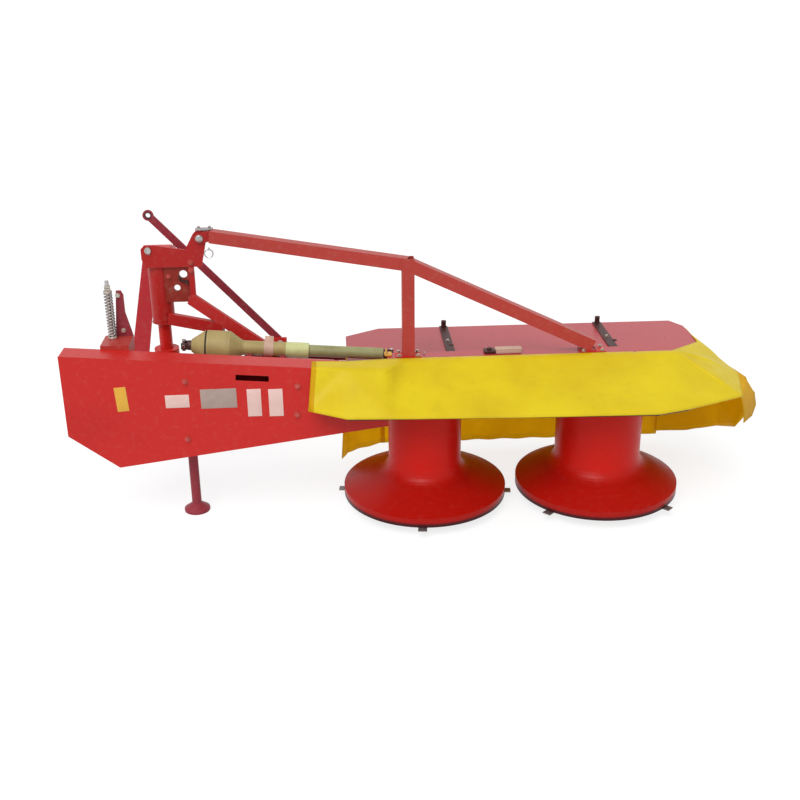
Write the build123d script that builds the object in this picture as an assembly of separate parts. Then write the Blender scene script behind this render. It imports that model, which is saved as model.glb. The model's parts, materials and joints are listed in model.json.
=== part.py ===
from build123d import *
import os
from math import atan2, cos, degrees, hypot, radians, sin

os.makedirs("parts", exist_ok=True)

# Two-drum rotary mower, mounted on a tractor's three-point linkage and driven
# by belts. Millimetres, +Z up, +X along the cutter towards the outer drum,
# +Y towards the tractor. X and Y are 0 at floor level, beside the inner drum's axis.

running_gap = 0.3         # running clearance of shafts, pins and pivots

# Drums, discs, knives and skids
inner_drum_x = -24.0
drum_spacing = 856.0      # between the two drum axes
disc_radius = 398.0       # rim of the disc under each drum
rim_base = 50.0           # underside of the disc's rim above the floor
rim_height = 43.0
floor_rise = 34.0         # the disc's floor plate lies this far above the rim's underside
knife_ring_width = 80.0   # ring under the rim that carries the knives
drum_top = 560.0          # top face of both drums
drum_skin = 5.0           # sheet of drum, flare and disc
flare_top = 240.0         # where the cylinder starts to flare out
flare_foot = 158.0        # where the flare meets the shallow cone
flare_reach = 60.0        # how far the flare stands out from the cylinder
flare_steps = 7
inner_drum_radius = 177.0
outer_drum_radius = 208.0
hub_bore = 60.0           # bore of the drum's top and bottom plates
hub_plate = 12.0
skid_radius = 285.0
skid_flat = 205.0         # part of the skid dish that lies on the floor
skid_height = 70.0
skid_plate = 6.0
skid_stub = 40.0          # stub above the disc's floor plate
knife_radius = 426.0      # circle of the knife tips
knives_per_drum = 4
inner_knife_phase = -6.0  # degrees
outer_knife_phase = 45.0  # the outer drum's knives run between the inner ones
knife_width = 42.0
knife_length = 96.0
knife_thickness = 4.0
knife_gap = 1.5           # between the disc's rim and the knife
stud_radius = 9.0
stud_inset = 24.0         # from the disc's rim
stud_head = 8.0

# Transmission beam over the drums
beam_top = 752.0
beam_height = 110.0
beam_depth = 120.0
beam_wall = 8.0
beam_reach = 138.0        # beyond the outer drum's axis
head_radius = 92.0        # gear head between the beam and each drum
head_gap = 6.0            # between a gear head and the turning drum
spindle_depth = 40.0      # spindle below the drum's top plate

# Belt case
case_left = -1680.0
case_right = -212.0
case_back = -66.0         # face towards the tractor
case_depth = 120.0
case_wall = 4.0
cover_sheet = 3.0
case_top_left = 870.0
case_top_right = 752.0
case_low_left = 482.0     # foot of the upright left edge
case_keel_x = -1463.0     # lowest corner
case_keel = 315.0
case_low_right = 483.0
cover_lip = 2.0           # the cover stands out past the case all round
case_joint = 10.0         # between the case and the beam
slot_x = -826.0           # hand slot in the cover
slot_length = 150.0
slot_height = 28.0
slot_drop = 61.0          # below the cover's top edge

# Hitch column
kingpin_x = -1290.0
kingpin_y = 385.0
kingpin_radius = 32.0
kingpin_foot = 30.0       # below the lower cross bar's middle
column_radius = 55.0      # tube that the kingpin turns in
column_base = 835.0
low_bush_base = 596.0
low_bush_height = 100.0
low_bush_wall = 29.0
carrier_width = 90.0
carrier_height = 80.0
head_plate = 12.0         # thickness of the head plate
left_lug_reach = 37.0     # the lugs' bores, to each side of the kingpin's axis
left_lug_rise = 63.0      # and above the column
right_lug_reach = 214.0
right_lug_rise = 130.0
lug_radius = 33.0
lug_bore = 13.0           # radius
notch_reach = 140.0       # foot of the notch between the lugs
notch_rise = 72.0
plate_lap = 12.0          # the head plate laps the column's top by this

# Braces of the column
brace_top_reach = 148.0   # from the kingpin's axis
brace_top_z = 968.0
brace_foot_x = -766.0
brace_foot_y = 163.0
brace_foot_z = 747.0
brace_width = 58.0
brace_depth = 24.0
post_reach = 162.0        # upright between the head plate and the brace
post_width = 26.0
tie_z = 862.0             # bar from the column to the brace
tie_reach = 305.0
tie_end_z = 832.0
tie_width = 56.0
tie_depth = 30.0
latch_sheet = 8.0         # plate between the column and the upright
latch_base = 950.0
latch_rise = 70.0         # lap behind the head plate
latch_hole_places = ((121.0, 38.0), (87.0, 106.0))   # right of the kingpin, below the head plate
latch_hole_radii = (19.0, 15.0)
brace_seat_width = 70.0
brace_seat_height = 64.0

# Hoop that lifts the cutter
hoop_post_x = -101.0
hoop_y = 10.0
hoop_knee_z = 1203.0
hoop_foot_inset = 54.0    # from the outer drum's axis
hoop_foot_z = 785.0
hoop_tube = 58.0
hoop_wall = 4.0
hoop_plate = 10.0
hoop_plate_length = 120.0
hoop_plate_width = 80.0
fork_rise = 15.0          # the hoop's bar lies above the lug's bore
fork_length = 60.0        # from the bar's end to the bore
fork_radius = 26.0
fork_wall = 12.0
fork_throat = 3.0         # between the lug and the fork's throat
hoop_pin_head = 18.0      # radius
hoop_pin_cap = 6.0
hoop_pin_tail = 26.0

# Three-point hitch frame
bar_y = 620.0             # lower cross bar
bar_z = 500.0
bar_radius = 30.0
bar_left_reach = 236.0    # from the kingpin's axis
hitch_span = 825.0        # between the shoulders of the hitch pins, category 2
hitch_pin_radius = 14.0
hitch_pin_length = 80.0
low_arm_width = 80.0
low_arm_height = 50.0
top_arm_width = 70.0
top_arm_height = 18.0
top_arm_back = 20.0       # behind the kingpin's axis
top_arm_gap = 4.0         # above the column
leg_foot_reach = 191.0    # left of the kingpin's axis
leg_foot_width = 90.0
leg_top_reach = 71.0
leg_top_width = 71.0
leg_thickness = 16.0
mast_height = 610.0       # top-link bore above the lower pins
top_bore_radius = 12.75
top_bore_reach = 50.0     # in front of the cross bar
cheek_gap = 58.0          # inside the top-link clevis
cheek_thickness = 14.0
cheek_edge = 30.0         # round the bore
stay_eye_reach = 72.0     # left of the kingpin's axis
stay_eye_rise = 172.0     # above the column
stay_foot_inset = 34.0    # from the cross bar's right end
stay_foot_z = 628.0
stay_eye_radius = 27.0
stay_bore = 12.0
stay_width = 38.0
stay_thickness = 12.0
stay_pin_radius = 8.0
stay_lug_width = 76.0
stay_lug_edge = 22.0

# Relief spring
spring_x = -1478.0
spring_y = 40.0
spring_radius = 21.0
spring_foot = 872.0
spring_top = 1104.0
spring_rod_radius = 9.0
spring_rod_top = 1150.0
spring_seat_left = -1518.0
spring_seat_right = -1388.0
spring_seat_height = 60.0
spring_seat_edge = 42.0   # in front of the spring's axis
lever_top = 1092.0        # flat lever beside the spring
lever_knee = 987.0        # the lever widens below this
lever_thickness = 12.0
lever_gap = 6.0           # between the spring and the lever

# Drive input and stowed drive shaft
input_reach = 235.0       # right of the kingpin's axis
input_z = 600.0
input_hub_radius = 52.0
input_hub_length = 70.0
input_shaft_radius = 17.5
input_shaft_length = 80.0
pto_y = 100.0
pto_left_x = -1175.0
pto_left_z = 809.0
pto_right_x = -165.0
pto_right_z = 730.0
pto_length = 1010.0
pto_yoke = 50.0           # length of each end yoke
pto_yoke_radius = 30.0
pto_cone = 65.0
pto_bell = 116.0
pto_bell_radius = 76.0
pto_groove = 8.0          # width and depth of the groove between cone and bell
pto_taper = 60.0          # from the bell down to the tube
pto_tube_radius = 35.0
pto_inner_radius = 28.0
pto_outer_end = 605.0     # the outer half ends here
pto_inner_start = 370.0   # the inner half reaches this far back into it
pto_travel = 200.0        # it can be pushed in by this much
rest_places = (322.0, 480.0)
rest_width = 24.0
rest_height = 40.0

# Guards
roof_top = 700.0
roof_sheet = 3.0
roof_left = -392.0
roof_reach = 538.0        # beyond the outer drum's axis
roof_front = 575.0
roof_chamfer_x = 172.0
roof_chamfer_y = 110.0
roof_end_chamfer_x = 50.0
roof_end_chamfer_y = 90.0
roof_back_chamfer_x = 220.0
roof_back_chamfer_y = 155.0
cloth = 3.0
hem_z = 597.0             # hem of the near curtain
low_hem = 60.0            # hem of the front curtain
front_y = 560.0           # inner face of the front curtain
front_reach = 470.0       # end of the front curtain, beyond the outer drum's axis
strap_places = (120.0, 930.0)
strap_width = 42.0
strap_height = 8.0
strap_near = 150.0
strap_edge = 8.0
knob_radius = 13.0
knob_height = 34.0
knob_inset = 26.0
arm_height = 22.0
frame_tube = 11.0         # radius of the curtain frame's tubes
frame_ball = 12.0         # radius of the balls that join them
frame_drop = 20.0         # of the frame's arms, above the beam's underside
frame_inset = 30.0        # of the frame, behind the near curtain's hem
frame_arms = (-60.0, 400.0, 900.0)
hem_on_case = -556.0      # the near curtain laps the belt case from here
hem_case_back = 110.0
hem_on_beam = -120.0      # and lies on the beam from here
hem_on_beam_end = 328.0   # to here, beyond the outer drum's axis
hem_behind = 34.0         # this far behind the beam's middle
hem_clear = 4.0           # the cloth stands off the beam, cover and roof
case_corner = (-575.0, -262.0)    # the near curtain's hem, X and Y
left_corner = (-400.0, -372.0)
case_end_corner = (7.0, -385.0)   # from the belt case's right end
long_corner = (168.0, -430.0)     # from here on, from the outer drum's axis
turn_corner = (318.0, -385.0)
near_corner = (608.0, -235.0)
side_corner = (684.0, 40.0)
far_side = (654.0, 330.0)
far_corner = (581.0, 463.0)
roof_meets = (190.0, 300.0)       # Y of the two points where it leaves the roof
near_low = (688.0, -100.0, 395.0)     # the end curtain's hem, X, Y and Z
pleat = (795.0, 34.0, 450.0)
side_low = (704.0, 40.0, 312.0)
far_side_low = (723.0, 330.0, 190.0)
far_corner_low = (613.0, 475.0, 105.0)
left_lean = 10.0          # the left curtain's foot stands out past the roof
left_end_lean = 40.0
left_end = 190.0          # behind the front curtain
front_end_gap = 6.0       # the end curtain starts inside the front one

# Stand leg
stand_reach = 144.0       # right of the kingpin's axis
stand_radius = 23.0
stand_foot_radius = 62.0
stand_foot_height = 12.0
stand_cone_height = 40.0
stand_top = 700.0
sleeve_base = 400.0
sleeve_height = 220.0
sleeve_wall = 6.0


def block(x_from, x_to, y_from, y_to, z_from, z_to):
    """A box between two corners."""
    size = Box(x_to - x_from, y_to - y_from, z_to - z_from)
    return Pos((x_from + x_to) / 2, (y_from + y_to) / 2, (z_from + z_to) / 2) * size


def plate_xz(corners, y_from, y_to):
    """A plate whose outline is given as X, Z corners."""
    outline = Polyline(*[(x, y_from, z) for x, z in corners], close=True)
    return extrude(make_face(outline), amount=y_to - y_from, dir=(0, 1, 0))


def rod(start, end, radius):
    """A round bar from one point to another."""
    span = Vector(*end) - Vector(*start)
    return extrude(Plane(origin=start, z_dir=span) * Circle(radius), amount=span.length)


def upright_rod(radius, height):
    """A round bar that stands on the origin."""
    return Cylinder(radius, height, align=(Align.CENTER, Align.CENTER, Align.MIN))


def flat_bar(start, end, width, depth):
    """A rectangular bar, its depth along Y."""
    span = Vector(*end) - Vector(*start)
    section = Plane(origin=start, x_dir=Vector(0, 1, 0).cross(span), z_dir=span)
    return extrude(section * Rectangle(width, depth), amount=span.length)


def box_tube(start, end, size, wall):
    """A square tube from one point to another."""
    return flat_bar(start, end, size, size) - flat_bar(start, end, size - 2 * wall, size - 2 * wall)


def turned(profile):
    """A solid turned about Z from R, Z corners."""
    return revolve(make_face(Polyline(*[(r, 0, z) for r, z in profile], close=True)), Axis.Z)


pieces = {}


def save(node, *solids):
    """Keep a node, its separate solids side by side."""
    pieces[node] = solids


# Heights and places that follow from the sizes above.
beam_base = beam_top - beam_height
case_front = case_back - case_depth
cover_front = case_front - cover_sheet
top_slope = (case_top_right - case_top_left) / (case_right - case_left)
outer_drum_x = inner_drum_x + drum_spacing
beam_right = outer_drum_x + beam_reach
roof_right = outer_drum_x + roof_reach
top_bore_z = bar_z + mast_height
column_top = top_bore_z + cheek_edge
left_lug_x = kingpin_x - left_lug_reach
left_lug_z = column_top + left_lug_rise
right_lug_x = kingpin_x + right_lug_reach
right_lug_z = column_top + right_lug_rise
notch_x = kingpin_x + notch_reach
notch_z = column_top + notch_rise
plate_foot = column_top - plate_lap
brace_top_x = kingpin_x + brace_top_reach
post_x = kingpin_x + post_reach
tie_end_x = kingpin_x + tie_reach
bar_left = kingpin_x - bar_left_reach
bar_right = bar_left + hitch_span
leg_foot_x = kingpin_x - leg_foot_reach
leg_top_x = kingpin_x - leg_top_reach
stay_eye_x = kingpin_x - stay_eye_reach
stay_eye_z = column_top + stay_eye_rise
stay_foot_x = bar_right - stay_foot_inset
stand_x = kingpin_x + stand_reach
input_x = kingpin_x + input_reach
roof_base = roof_top - roof_sheet


def case_top_at(x):
    return case_top_left + top_slope * (x - case_left)


# Drums with their discs, knives and skids.
def drum_shell(radius):
    """Cylinder, flare and disc in one skin, with bored end plates and a ring for the knives."""
    rim_top = rim_base + rim_height
    inner_rim = disc_radius - drum_skin
    flare_end = radius + flare_reach
    cone_slope = (flare_foot - rim_top) / (disc_radius - flare_end)
    bend = Vector(radius, flare_foot + cone_slope * flare_reach)
    curve = Bezier((radius, flare_top), bend, (flare_end, flare_foot))
    shares = [step / flare_steps for step in range(flare_steps + 1)]
    arc = [(point.X, point.Y) for point in (curve @ share for share in shares)]
    inner_arc = [(point.X, point.Y) for point in
                 (curve @ share - (curve % share).rotate(Axis.Z, 90) * drum_skin for share in shares)]
    profile = [(hub_bore / 2, drum_top), (radius, drum_top), *arc, (disc_radius, rim_top)]
    profile += [(disc_radius, rim_base), (inner_rim, rim_base), (inner_rim, rim_top - drum_skin)]
    profile += reversed(inner_arc)
    profile += [(radius - drum_skin, drum_top - hub_plate), (hub_bore / 2, drum_top - hub_plate)]
    rim_lap = disc_radius - drum_skin / 2
    shell = turned(profile)
    floor_base = rim_base + floor_rise
    for plate_start, plate_base in ((hub_bore / 2, floor_base), (disc_radius - knife_ring_width, rim_base)):
        shell += turned([(plate_start, plate_base), (rim_lap, plate_base),
                         (rim_lap, plate_base + drum_skin), (plate_start, plate_base + drum_skin)])
    return shell


def knife_set(phase):
    """The knives hung under the disc's rim, each on its stud."""
    top = rim_base - knife_gap
    stud_base = top - knife_thickness - stud_head
    knives = []
    for index in range(knives_per_drum):
        turn = Rot(0, 0, phase + index * 360 / knives_per_drum)
        blade = block(knife_radius - knife_length, knife_radius, -knife_width / 2, knife_width / 2,
                      top - knife_thickness, top)
        stud = Pos(disc_radius - stud_inset, 0, stud_base) * upright_rod(stud_radius, rim_base - stud_base)
        knives.append(turn * (blade + stud))
    return knives


def skid_dish():
    """Dish that the drum slides on, with the stub it turns on."""
    stub_radius = hub_bore / 2 - running_gap
    stub_top = rim_base + floor_rise + drum_skin + skid_stub
    profile = [(0, 0), (skid_flat, 0), (skid_radius, skid_height - skid_plate), (skid_radius, skid_height),
               (skid_radius - skid_plate, skid_height), (skid_flat - skid_plate / 2, skid_plate),
               (stub_radius, skid_plate), (stub_radius, stub_top), (0, stub_top)]
    return turned(profile)


# node suffix, axis X, drum radius, knife phase in degrees
drum_table = [
    ("inner", inner_drum_x, inner_drum_radius, inner_knife_phase),
    ("outer", outer_drum_x, outer_drum_radius, outer_knife_phase),
]
for suffix, axis_x, radius, phase in drum_table:
    save(f"drum_{suffix}", Pos(axis_x, 0, 0) * drum_shell(radius))
    save(f"knives_{suffix}", *[Pos(axis_x, 0, 0) * knife for knife in knife_set(phase)])
    save(f"skid_{suffix}", Pos(axis_x, 0, 0) * skid_dish())


# Beam over the drums and the gear heads under it.
def beam():
    left = case_right + case_joint
    body = block(left, beam_right, -beam_depth / 2, beam_depth / 2, beam_base, beam_top)
    hollow = block(left + beam_wall, beam_right - beam_wall, beam_wall - beam_depth / 2,
                   beam_depth / 2 - beam_wall, beam_base + beam_wall, beam_top - beam_wall)
    return body - hollow


def gear_head(axis_x):
    head_base = drum_top + head_gap
    spindle_base = drum_top - hub_plate - spindle_depth
    head = Pos(axis_x, 0, head_base) * upright_rod(head_radius, beam_base - head_base)
    spindle = upright_rod(hub_bore / 2 - running_gap, head_base - spindle_base)
    return head + Pos(axis_x, 0, spindle_base) * spindle


save("transmission_beam", beam())
save("gear_heads", gear_head(inner_drum_x), gear_head(outer_drum_x))


# Belt case: a five-cornered box with a separate front cover.
def case_outline(grow):
    """The case's corners, moved out by a lip or in by a wall."""
    return [(case_left - grow, case_low_left - grow), (case_keel_x, case_keel - grow),
            (case_right + grow, case_low_right - grow), (case_right + grow, case_top_right + grow),
            (case_left - grow, case_top_left + grow)]


case_body = plate_xz(case_outline(0), case_front, case_back)
case_body -= plate_xz(case_outline(-case_wall), case_front, case_back - case_wall)
save("belt_case", case_body)
cover = plate_xz(case_outline(cover_lip), cover_front, case_front)
slot = Rot(0, -degrees(atan2(top_slope, 1)), 0) * Box(slot_length, 4 * cover_sheet, slot_height)
save("belt_cover", cover - Pos(slot_x, cover_front, case_top_at(slot_x) - slot_drop) * slot)

hub_end = case_back + input_hub_length
save("input_bearing", rod((input_x, case_back, input_z), (input_x, hub_end, input_z), input_hub_radius))
save("input_shaft", rod((input_x, hub_end, input_z), (input_x, hub_end + input_shaft_length, input_z),
                        input_shaft_radius))


# Column that the hitch turns on, and what carries it from the belt case.
kingpin_bore = kingpin_radius + running_gap


def bush(base, height, radius):
    return Pos(kingpin_x, kingpin_y, base) * (upright_rod(radius, height) - upright_rod(kingpin_bore, height))


low_bush_radius = kingpin_radius + low_bush_wall
carrier_z = low_bush_base + low_bush_height / 2
carrier = block(kingpin_x - carrier_width / 2, kingpin_x + carrier_width / 2, case_back,
                kingpin_y, carrier_z - carrier_height / 2, carrier_z + carrier_height / 2)
carrier -= Pos(kingpin_x, kingpin_y, carrier_z) * Cylinder(low_bush_radius, carrier_height)
save("column_carrier", carrier + bush(low_bush_base, low_bush_height, low_bush_radius))
save("column", bush(column_base, column_top - column_base, column_radius))
column_core = Pos(kingpin_x, kingpin_y, column_base) * upright_rod(column_radius, column_top - column_base)

head_back = kingpin_y - column_radius
head_front = head_back - head_plate
head_middle = head_back - head_plate / 2
head_corners = [
    (left_lug_x - lug_radius, left_lug_z - lug_radius), (left_lug_x - lug_radius, left_lug_z + lug_radius / 2),
    (left_lug_x - lug_radius / 2, left_lug_z + lug_radius), (left_lug_x + lug_radius, left_lug_z + lug_radius),
    (notch_x, notch_z), (right_lug_x - lug_radius, right_lug_z + lug_radius / 2),
    (right_lug_x - lug_radius / 2, right_lug_z + lug_radius),
    (right_lug_x + lug_radius / 2, right_lug_z + lug_radius),
    (right_lug_x + lug_radius, right_lug_z), (right_lug_x, plate_foot), (kingpin_x - column_radius, plate_foot),
]
head = plate_xz(head_corners, head_front, head_back)
for lug_x, lug_z in ((left_lug_x, left_lug_z), (right_lug_x, right_lug_z)):
    head -= rod((lug_x, head_front, lug_z), (lug_x, head_back, lug_z), lug_bore)
save("head_plate", head)

# Braces from the column down to the belt case.
brace_top = (brace_top_x, head_middle, brace_top_z)
brace = flat_bar(brace_top, (brace_foot_x, brace_foot_y, brace_foot_z), brace_width, brace_depth)
save("column_brace", brace)
post_foot = brace_top_z + brace_width / 4
upright = flat_bar((post_x, head_middle, plate_foot), (post_x, head_middle, post_foot), post_width, head_plate)
save("brace_upright", upright - brace)
tie_share = (tie_end_x - brace_top_x) / (brace_foot_x - brace_top_x)
tie_end_y = head_middle + tie_share * (brace_foot_y - head_middle)
tie_start = (kingpin_x + kingpin_radius, head_back + tie_depth / 2, tie_z)
tie = flat_bar(tie_start, (tie_end_x, tie_end_y, tie_end_z), tie_width, tie_depth)
save("brace_tie", tie - column_core - brace)
latch = block(kingpin_x + column_radius / 2, post_x + post_width / 2, head_back, head_back + latch_sheet,
              latch_base, plate_foot + latch_rise) - column_core
for (hole_reach, hole_drop), hole_radius in zip(latch_hole_places, latch_hole_radii):
    hole_x = kingpin_x + hole_reach
    hole_z = plate_foot - hole_drop
    latch -= rod((hole_x, head_back, hole_z), (hole_x, head_back + latch_sheet, hole_z), hole_radius)
save("latch_plate", latch - brace)
brace_seat_top = brace_foot_z - brace_width / 2
brace_seat = block(brace_foot_x - brace_seat_width / 2, brace_foot_x + brace_seat_width / 2, case_back,
                   brace_foot_y + brace_depth, brace_seat_top - brace_seat_height, brace_seat_top)
save("brace_carrier", brace_seat - brace)

# Hoop frame that lifts the cutter by the column's right lug.
hoop_foot_x = outer_drum_x - hoop_foot_inset
hoop_base = beam_top + hoop_plate
knee = Vector(hoop_post_x, hoop_y, hoop_knee_z)
eye = Vector(right_lug_x, head_middle, right_lug_z + fork_rise)
reach = (eye - knee).normalized()
bar_end = eye - reach * fork_length
post_top = hoop_knee_z + hoop_tube / 2
bar_core = flat_bar(tuple(knee), tuple(bar_end), hoop_tube, hoop_tube)
post_core = block(hoop_post_x - hoop_tube / 2, hoop_post_x + hoop_tube / 2, hoop_y - hoop_tube / 2,
                  hoop_y + hoop_tube / 2, hoop_base, post_top)
save("hoop_bar", box_tube(tuple(knee), tuple(bar_end), hoop_tube, hoop_wall))
post = box_tube((hoop_post_x, hoop_y, hoop_base), (hoop_post_x, hoop_y, post_top), hoop_tube, hoop_wall)
save("hoop_post", post - bar_core)
diagonal = box_tube(tuple(knee), (hoop_foot_x, hoop_y, hoop_foot_z), hoop_tube, hoop_wall)
diagonal -= block(hoop_foot_x - hoop_plate_length, hoop_foot_x + hoop_plate_length, hoop_y - hoop_plate_width,
                  hoop_y + hoop_plate_width, 0, hoop_base)
save("hoop_diagonal", diagonal - post_core - bar_core)
foot_plate = block(-hoop_plate_length / 2, hoop_plate_length / 2, hoop_y - hoop_plate_width / 2,
                   hoop_y + hoop_plate_width / 2, beam_top, hoop_base)
save("hoop_feet", Pos(hoop_post_x, 0, 0) * foot_plate, Pos(hoop_foot_x, 0, 0) * foot_plate)
fork_front = head_front - running_gap - fork_wall
fork_back = head_back + running_gap + fork_wall
fork_corners = [(right_lug_x, right_lug_z - fork_radius), (bar_end.X, bar_end.Z - fork_radius),
                (bar_end.X, bar_end.Z + fork_radius), (right_lug_x, right_lug_z + fork_radius)]
fork = plate_xz(fork_corners, fork_front, fork_back)
fork += rod((right_lug_x, fork_front, right_lug_z), (right_lug_x, fork_back, right_lug_z), fork_radius)
fork -= block(right_lug_x - lug_radius, right_lug_x + lug_radius + fork_throat, head_front - running_gap,
              head_back + running_gap, plate_foot, eye.Z + 2 * fork_radius)
fork -= rod((right_lug_x, fork_front, right_lug_z), (right_lug_x, fork_back, right_lug_z), lug_bore)
fork -= flat_bar(tuple(knee), tuple(bar_end), 3 * hoop_tube, 3 * hoop_tube)
save("hoop_fork", fork)
pin_radius = lug_bore - running_gap
hoop_pin = rod((right_lug_x, fork_front, right_lug_z), (right_lug_x, fork_back + hoop_pin_tail, right_lug_z),
               pin_radius)
hoop_pin += rod((right_lug_x, fork_front - hoop_pin_cap, right_lug_z), (right_lug_x, fork_front, right_lug_z),
                hoop_pin_head)
save("hoop_pin", hoop_pin)

# Three-point hitch frame, which swings about the column.
kingpin_top = column_top + top_arm_gap
kingpin_base = bar_z - kingpin_foot
kingpin = Pos(kingpin_x, kingpin_y, kingpin_base) * upright_rod(kingpin_radius, kingpin_top - kingpin_base)
save("kingpin", kingpin)
cross_bar = rod((bar_left, bar_y, bar_z), (bar_right, bar_y, bar_z), bar_radius)
save("hitch_cross_bar", cross_bar)
save("hitch_pins", rod((bar_left, bar_y, bar_z), (bar_left - hitch_pin_length, bar_y, bar_z), hitch_pin_radius),
     rod((bar_right, bar_y, bar_z), (bar_right + hitch_pin_length, bar_y, bar_z), hitch_pin_radius))
low_arm = block(kingpin_x - low_arm_width / 2, kingpin_x + low_arm_width / 2, kingpin_y, bar_y,
                bar_z - low_arm_height / 2, bar_z + low_arm_height / 2)
save("hitch_low_arm", low_arm - cross_bar - kingpin)
leg_back = bar_y - leg_thickness / 2
leg_front = bar_y + leg_thickness / 2
leg = plate_xz([(leg_foot_x - leg_foot_width / 2, bar_z), (leg_foot_x + leg_foot_width / 2, bar_z),
                (leg_top_x + leg_top_width / 2, kingpin_top), (leg_top_x - leg_top_width / 2, kingpin_top)],
               leg_back, leg_front)
save("mast_leg", leg - cross_bar)
top_arm = block(kingpin_x - top_arm_width / 2, kingpin_x + top_arm_width / 2, kingpin_y - top_arm_back,
                leg_front, kingpin_top, kingpin_top + top_arm_height)
top_arm += block(leg_top_x - leg_top_width / 2, kingpin_x, leg_back, leg_front, kingpin_top,
                 kingpin_top + top_arm_height)
save("hitch_top_arm", top_arm)

stay_middle = leg_front + stay_thickness / 2
stay_front = leg_front + stay_thickness
stay_ends = ((stay_eye_x, stay_eye_z, stay_eye_radius, stay_bore),
             (stay_foot_x, stay_foot_z, stay_width / 2, stay_pin_radius + running_gap))
stay = flat_bar((stay_eye_x, stay_middle, stay_eye_z), (stay_foot_x, stay_middle, stay_foot_z),
                stay_width, stay_thickness)
for end_x, end_z, end_radius, end_bore in stay_ends:
    stay += rod((end_x, leg_front, end_z), (end_x, stay_front, end_z), end_radius)
for end_x, end_z, end_radius, end_bore in stay_ends:
    stay -= rod((end_x, leg_front, end_z), (end_x, stay_front, end_z), end_bore)
save("mast_stay", stay)
stay_lug = block(stay_foot_x - stay_lug_width / 2, bar_right, leg_back, leg_front,
                 bar_z, stay_foot_z + stay_lug_edge)
stay_hole = rod((stay_foot_x, leg_back, stay_foot_z), (stay_foot_x, leg_front, stay_foot_z),
                stay_pin_radius + running_gap)
save("stay_lug", stay_lug - cross_bar - stay_hole)
save("stay_pin", rod((stay_foot_x, leg_back - stay_pin_radius, stay_foot_z),
                     (stay_foot_x, stay_front + stay_pin_radius, stay_foot_z), stay_pin_radius))

top_bore_y = bar_y + top_bore_reach
cheeks = []
for side in (-1, 1):
    middle = kingpin_x + side * (cheek_gap + cheek_thickness) / 2
    left = middle - cheek_thickness / 2
    right = middle + cheek_thickness / 2
    cheek = block(left, right, leg_back, top_bore_y + cheek_edge, top_bore_z - cheek_edge, kingpin_top)
    bore = rod((left, top_bore_y, top_bore_z), (right, top_bore_y, top_bore_z), top_bore_radius)
    cheeks.append(cheek - leg - bore)
save("top_link_cheeks", *cheeks)

# Relief spring on the belt case, with a flat lever behind it.
seat_edge = spring_y + spring_seat_edge
save("spring_base", block(spring_seat_left, spring_seat_right, case_back, seat_edge,
                          spring_foot - spring_seat_height, spring_foot))
save("relief_spring", rod((spring_x, spring_y, spring_foot), (spring_x, spring_y, spring_top), spring_radius))
save("spring_rod", rod((spring_x, spring_y, spring_top), (spring_x, spring_y, spring_rod_top),
                       spring_rod_radius))
lever_back = spring_y + spring_radius + lever_gap
lever_left = spring_x + spring_radius / 2
lever_right = spring_x + 3 * spring_radius
lever_corners = [(lever_left, spring_foot), (spring_seat_right, spring_foot), (lever_right, lever_knee),
                 (lever_right, lever_top - spring_radius), (lever_right - spring_radius / 2, lever_top),
                 (lever_left + spring_radius, lever_top)]
save("spring_lever", plate_xz(lever_corners, lever_back, lever_back + lever_thickness))

# Stowed drive shaft, two halves that slide in each other.
pto_start = Vector(pto_left_x, pto_y, pto_left_z)
pto_dir = (Vector(pto_right_x, pto_y, pto_right_z) - pto_start).normalized()


def along(distance):
    return pto_start + pto_dir * distance


def shaft_length(start, end, radius):
    return rod(tuple(along(start)), tuple(along(end)), radius)


groove_start = pto_yoke + pto_cone
groove_end = groove_start + pto_groove
bell_end = groove_start + pto_bell
tube_start = bell_end + pto_taper
guard_profile = [
    (0, pto_yoke), (pto_yoke_radius, pto_yoke), (pto_bell_radius, groove_start),
    (pto_bell_radius - pto_groove, groove_start), (pto_bell_radius - pto_groove, groove_end),
    (pto_bell_radius, groove_end), (pto_bell_radius, bell_end), (pto_tube_radius, tube_start),
    (pto_tube_radius, pto_outer_end), (0, pto_outer_end),
]
outer_half = Plane(origin=pto_start, z_dir=pto_dir) * turned(guard_profile)
bore_start = pto_inner_start - pto_travel - rest_width / 2
outer_half -= shaft_length(bore_start, pto_outer_end, pto_inner_radius + running_gap)
save("pto_outer_half", outer_half)
save("pto_inner_half", shaft_length(pto_inner_start, pto_length - pto_yoke, pto_inner_radius))
save("pto_left_yoke", shaft_length(0, pto_yoke, pto_yoke_radius))
save("pto_right_yoke", shaft_length(pto_length - pto_yoke, pto_length, pto_yoke_radius))
pto_rests = []
for place in rest_places:
    seat = along(place)
    rest = block(seat.X - rest_width / 2, seat.X + rest_width / 2, case_back, pto_y + pto_tube_radius,
                 seat.Z - pto_tube_radius - rest_height, seat.Z - pto_tube_radius / 2)
    pto_rests.append(rest - shaft_length(tube_start, pto_outer_end, pto_tube_radius + running_gap))
save("pto_rests", *pto_rests)

# Stand leg in its sleeve.
stand_y = case_back + sleeve_wall + running_gap + stand_radius
leg_tube = Pos(stand_x, stand_y, stand_foot_height) * upright_rod(stand_radius, stand_top - stand_foot_height)
foot = turned([(0, 0), (stand_foot_radius, 0), (stand_foot_radius, stand_foot_height),
               (stand_radius, stand_cone_height), (0, stand_cone_height)])
save("stand_leg", leg_tube + Pos(stand_x, stand_y, 0) * foot)
sleeve_half = stand_radius + running_gap + sleeve_wall
sleeve = block(stand_x - sleeve_half, stand_x + sleeve_half, stand_y - sleeve_half, stand_y + sleeve_half,
               sleeve_base, sleeve_base + sleeve_height)
sleeve -= Pos(stand_x, stand_y, sleeve_base) * upright_rod(stand_radius + running_gap, sleeve_height)
save("stand_sleeve", sleeve)

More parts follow.
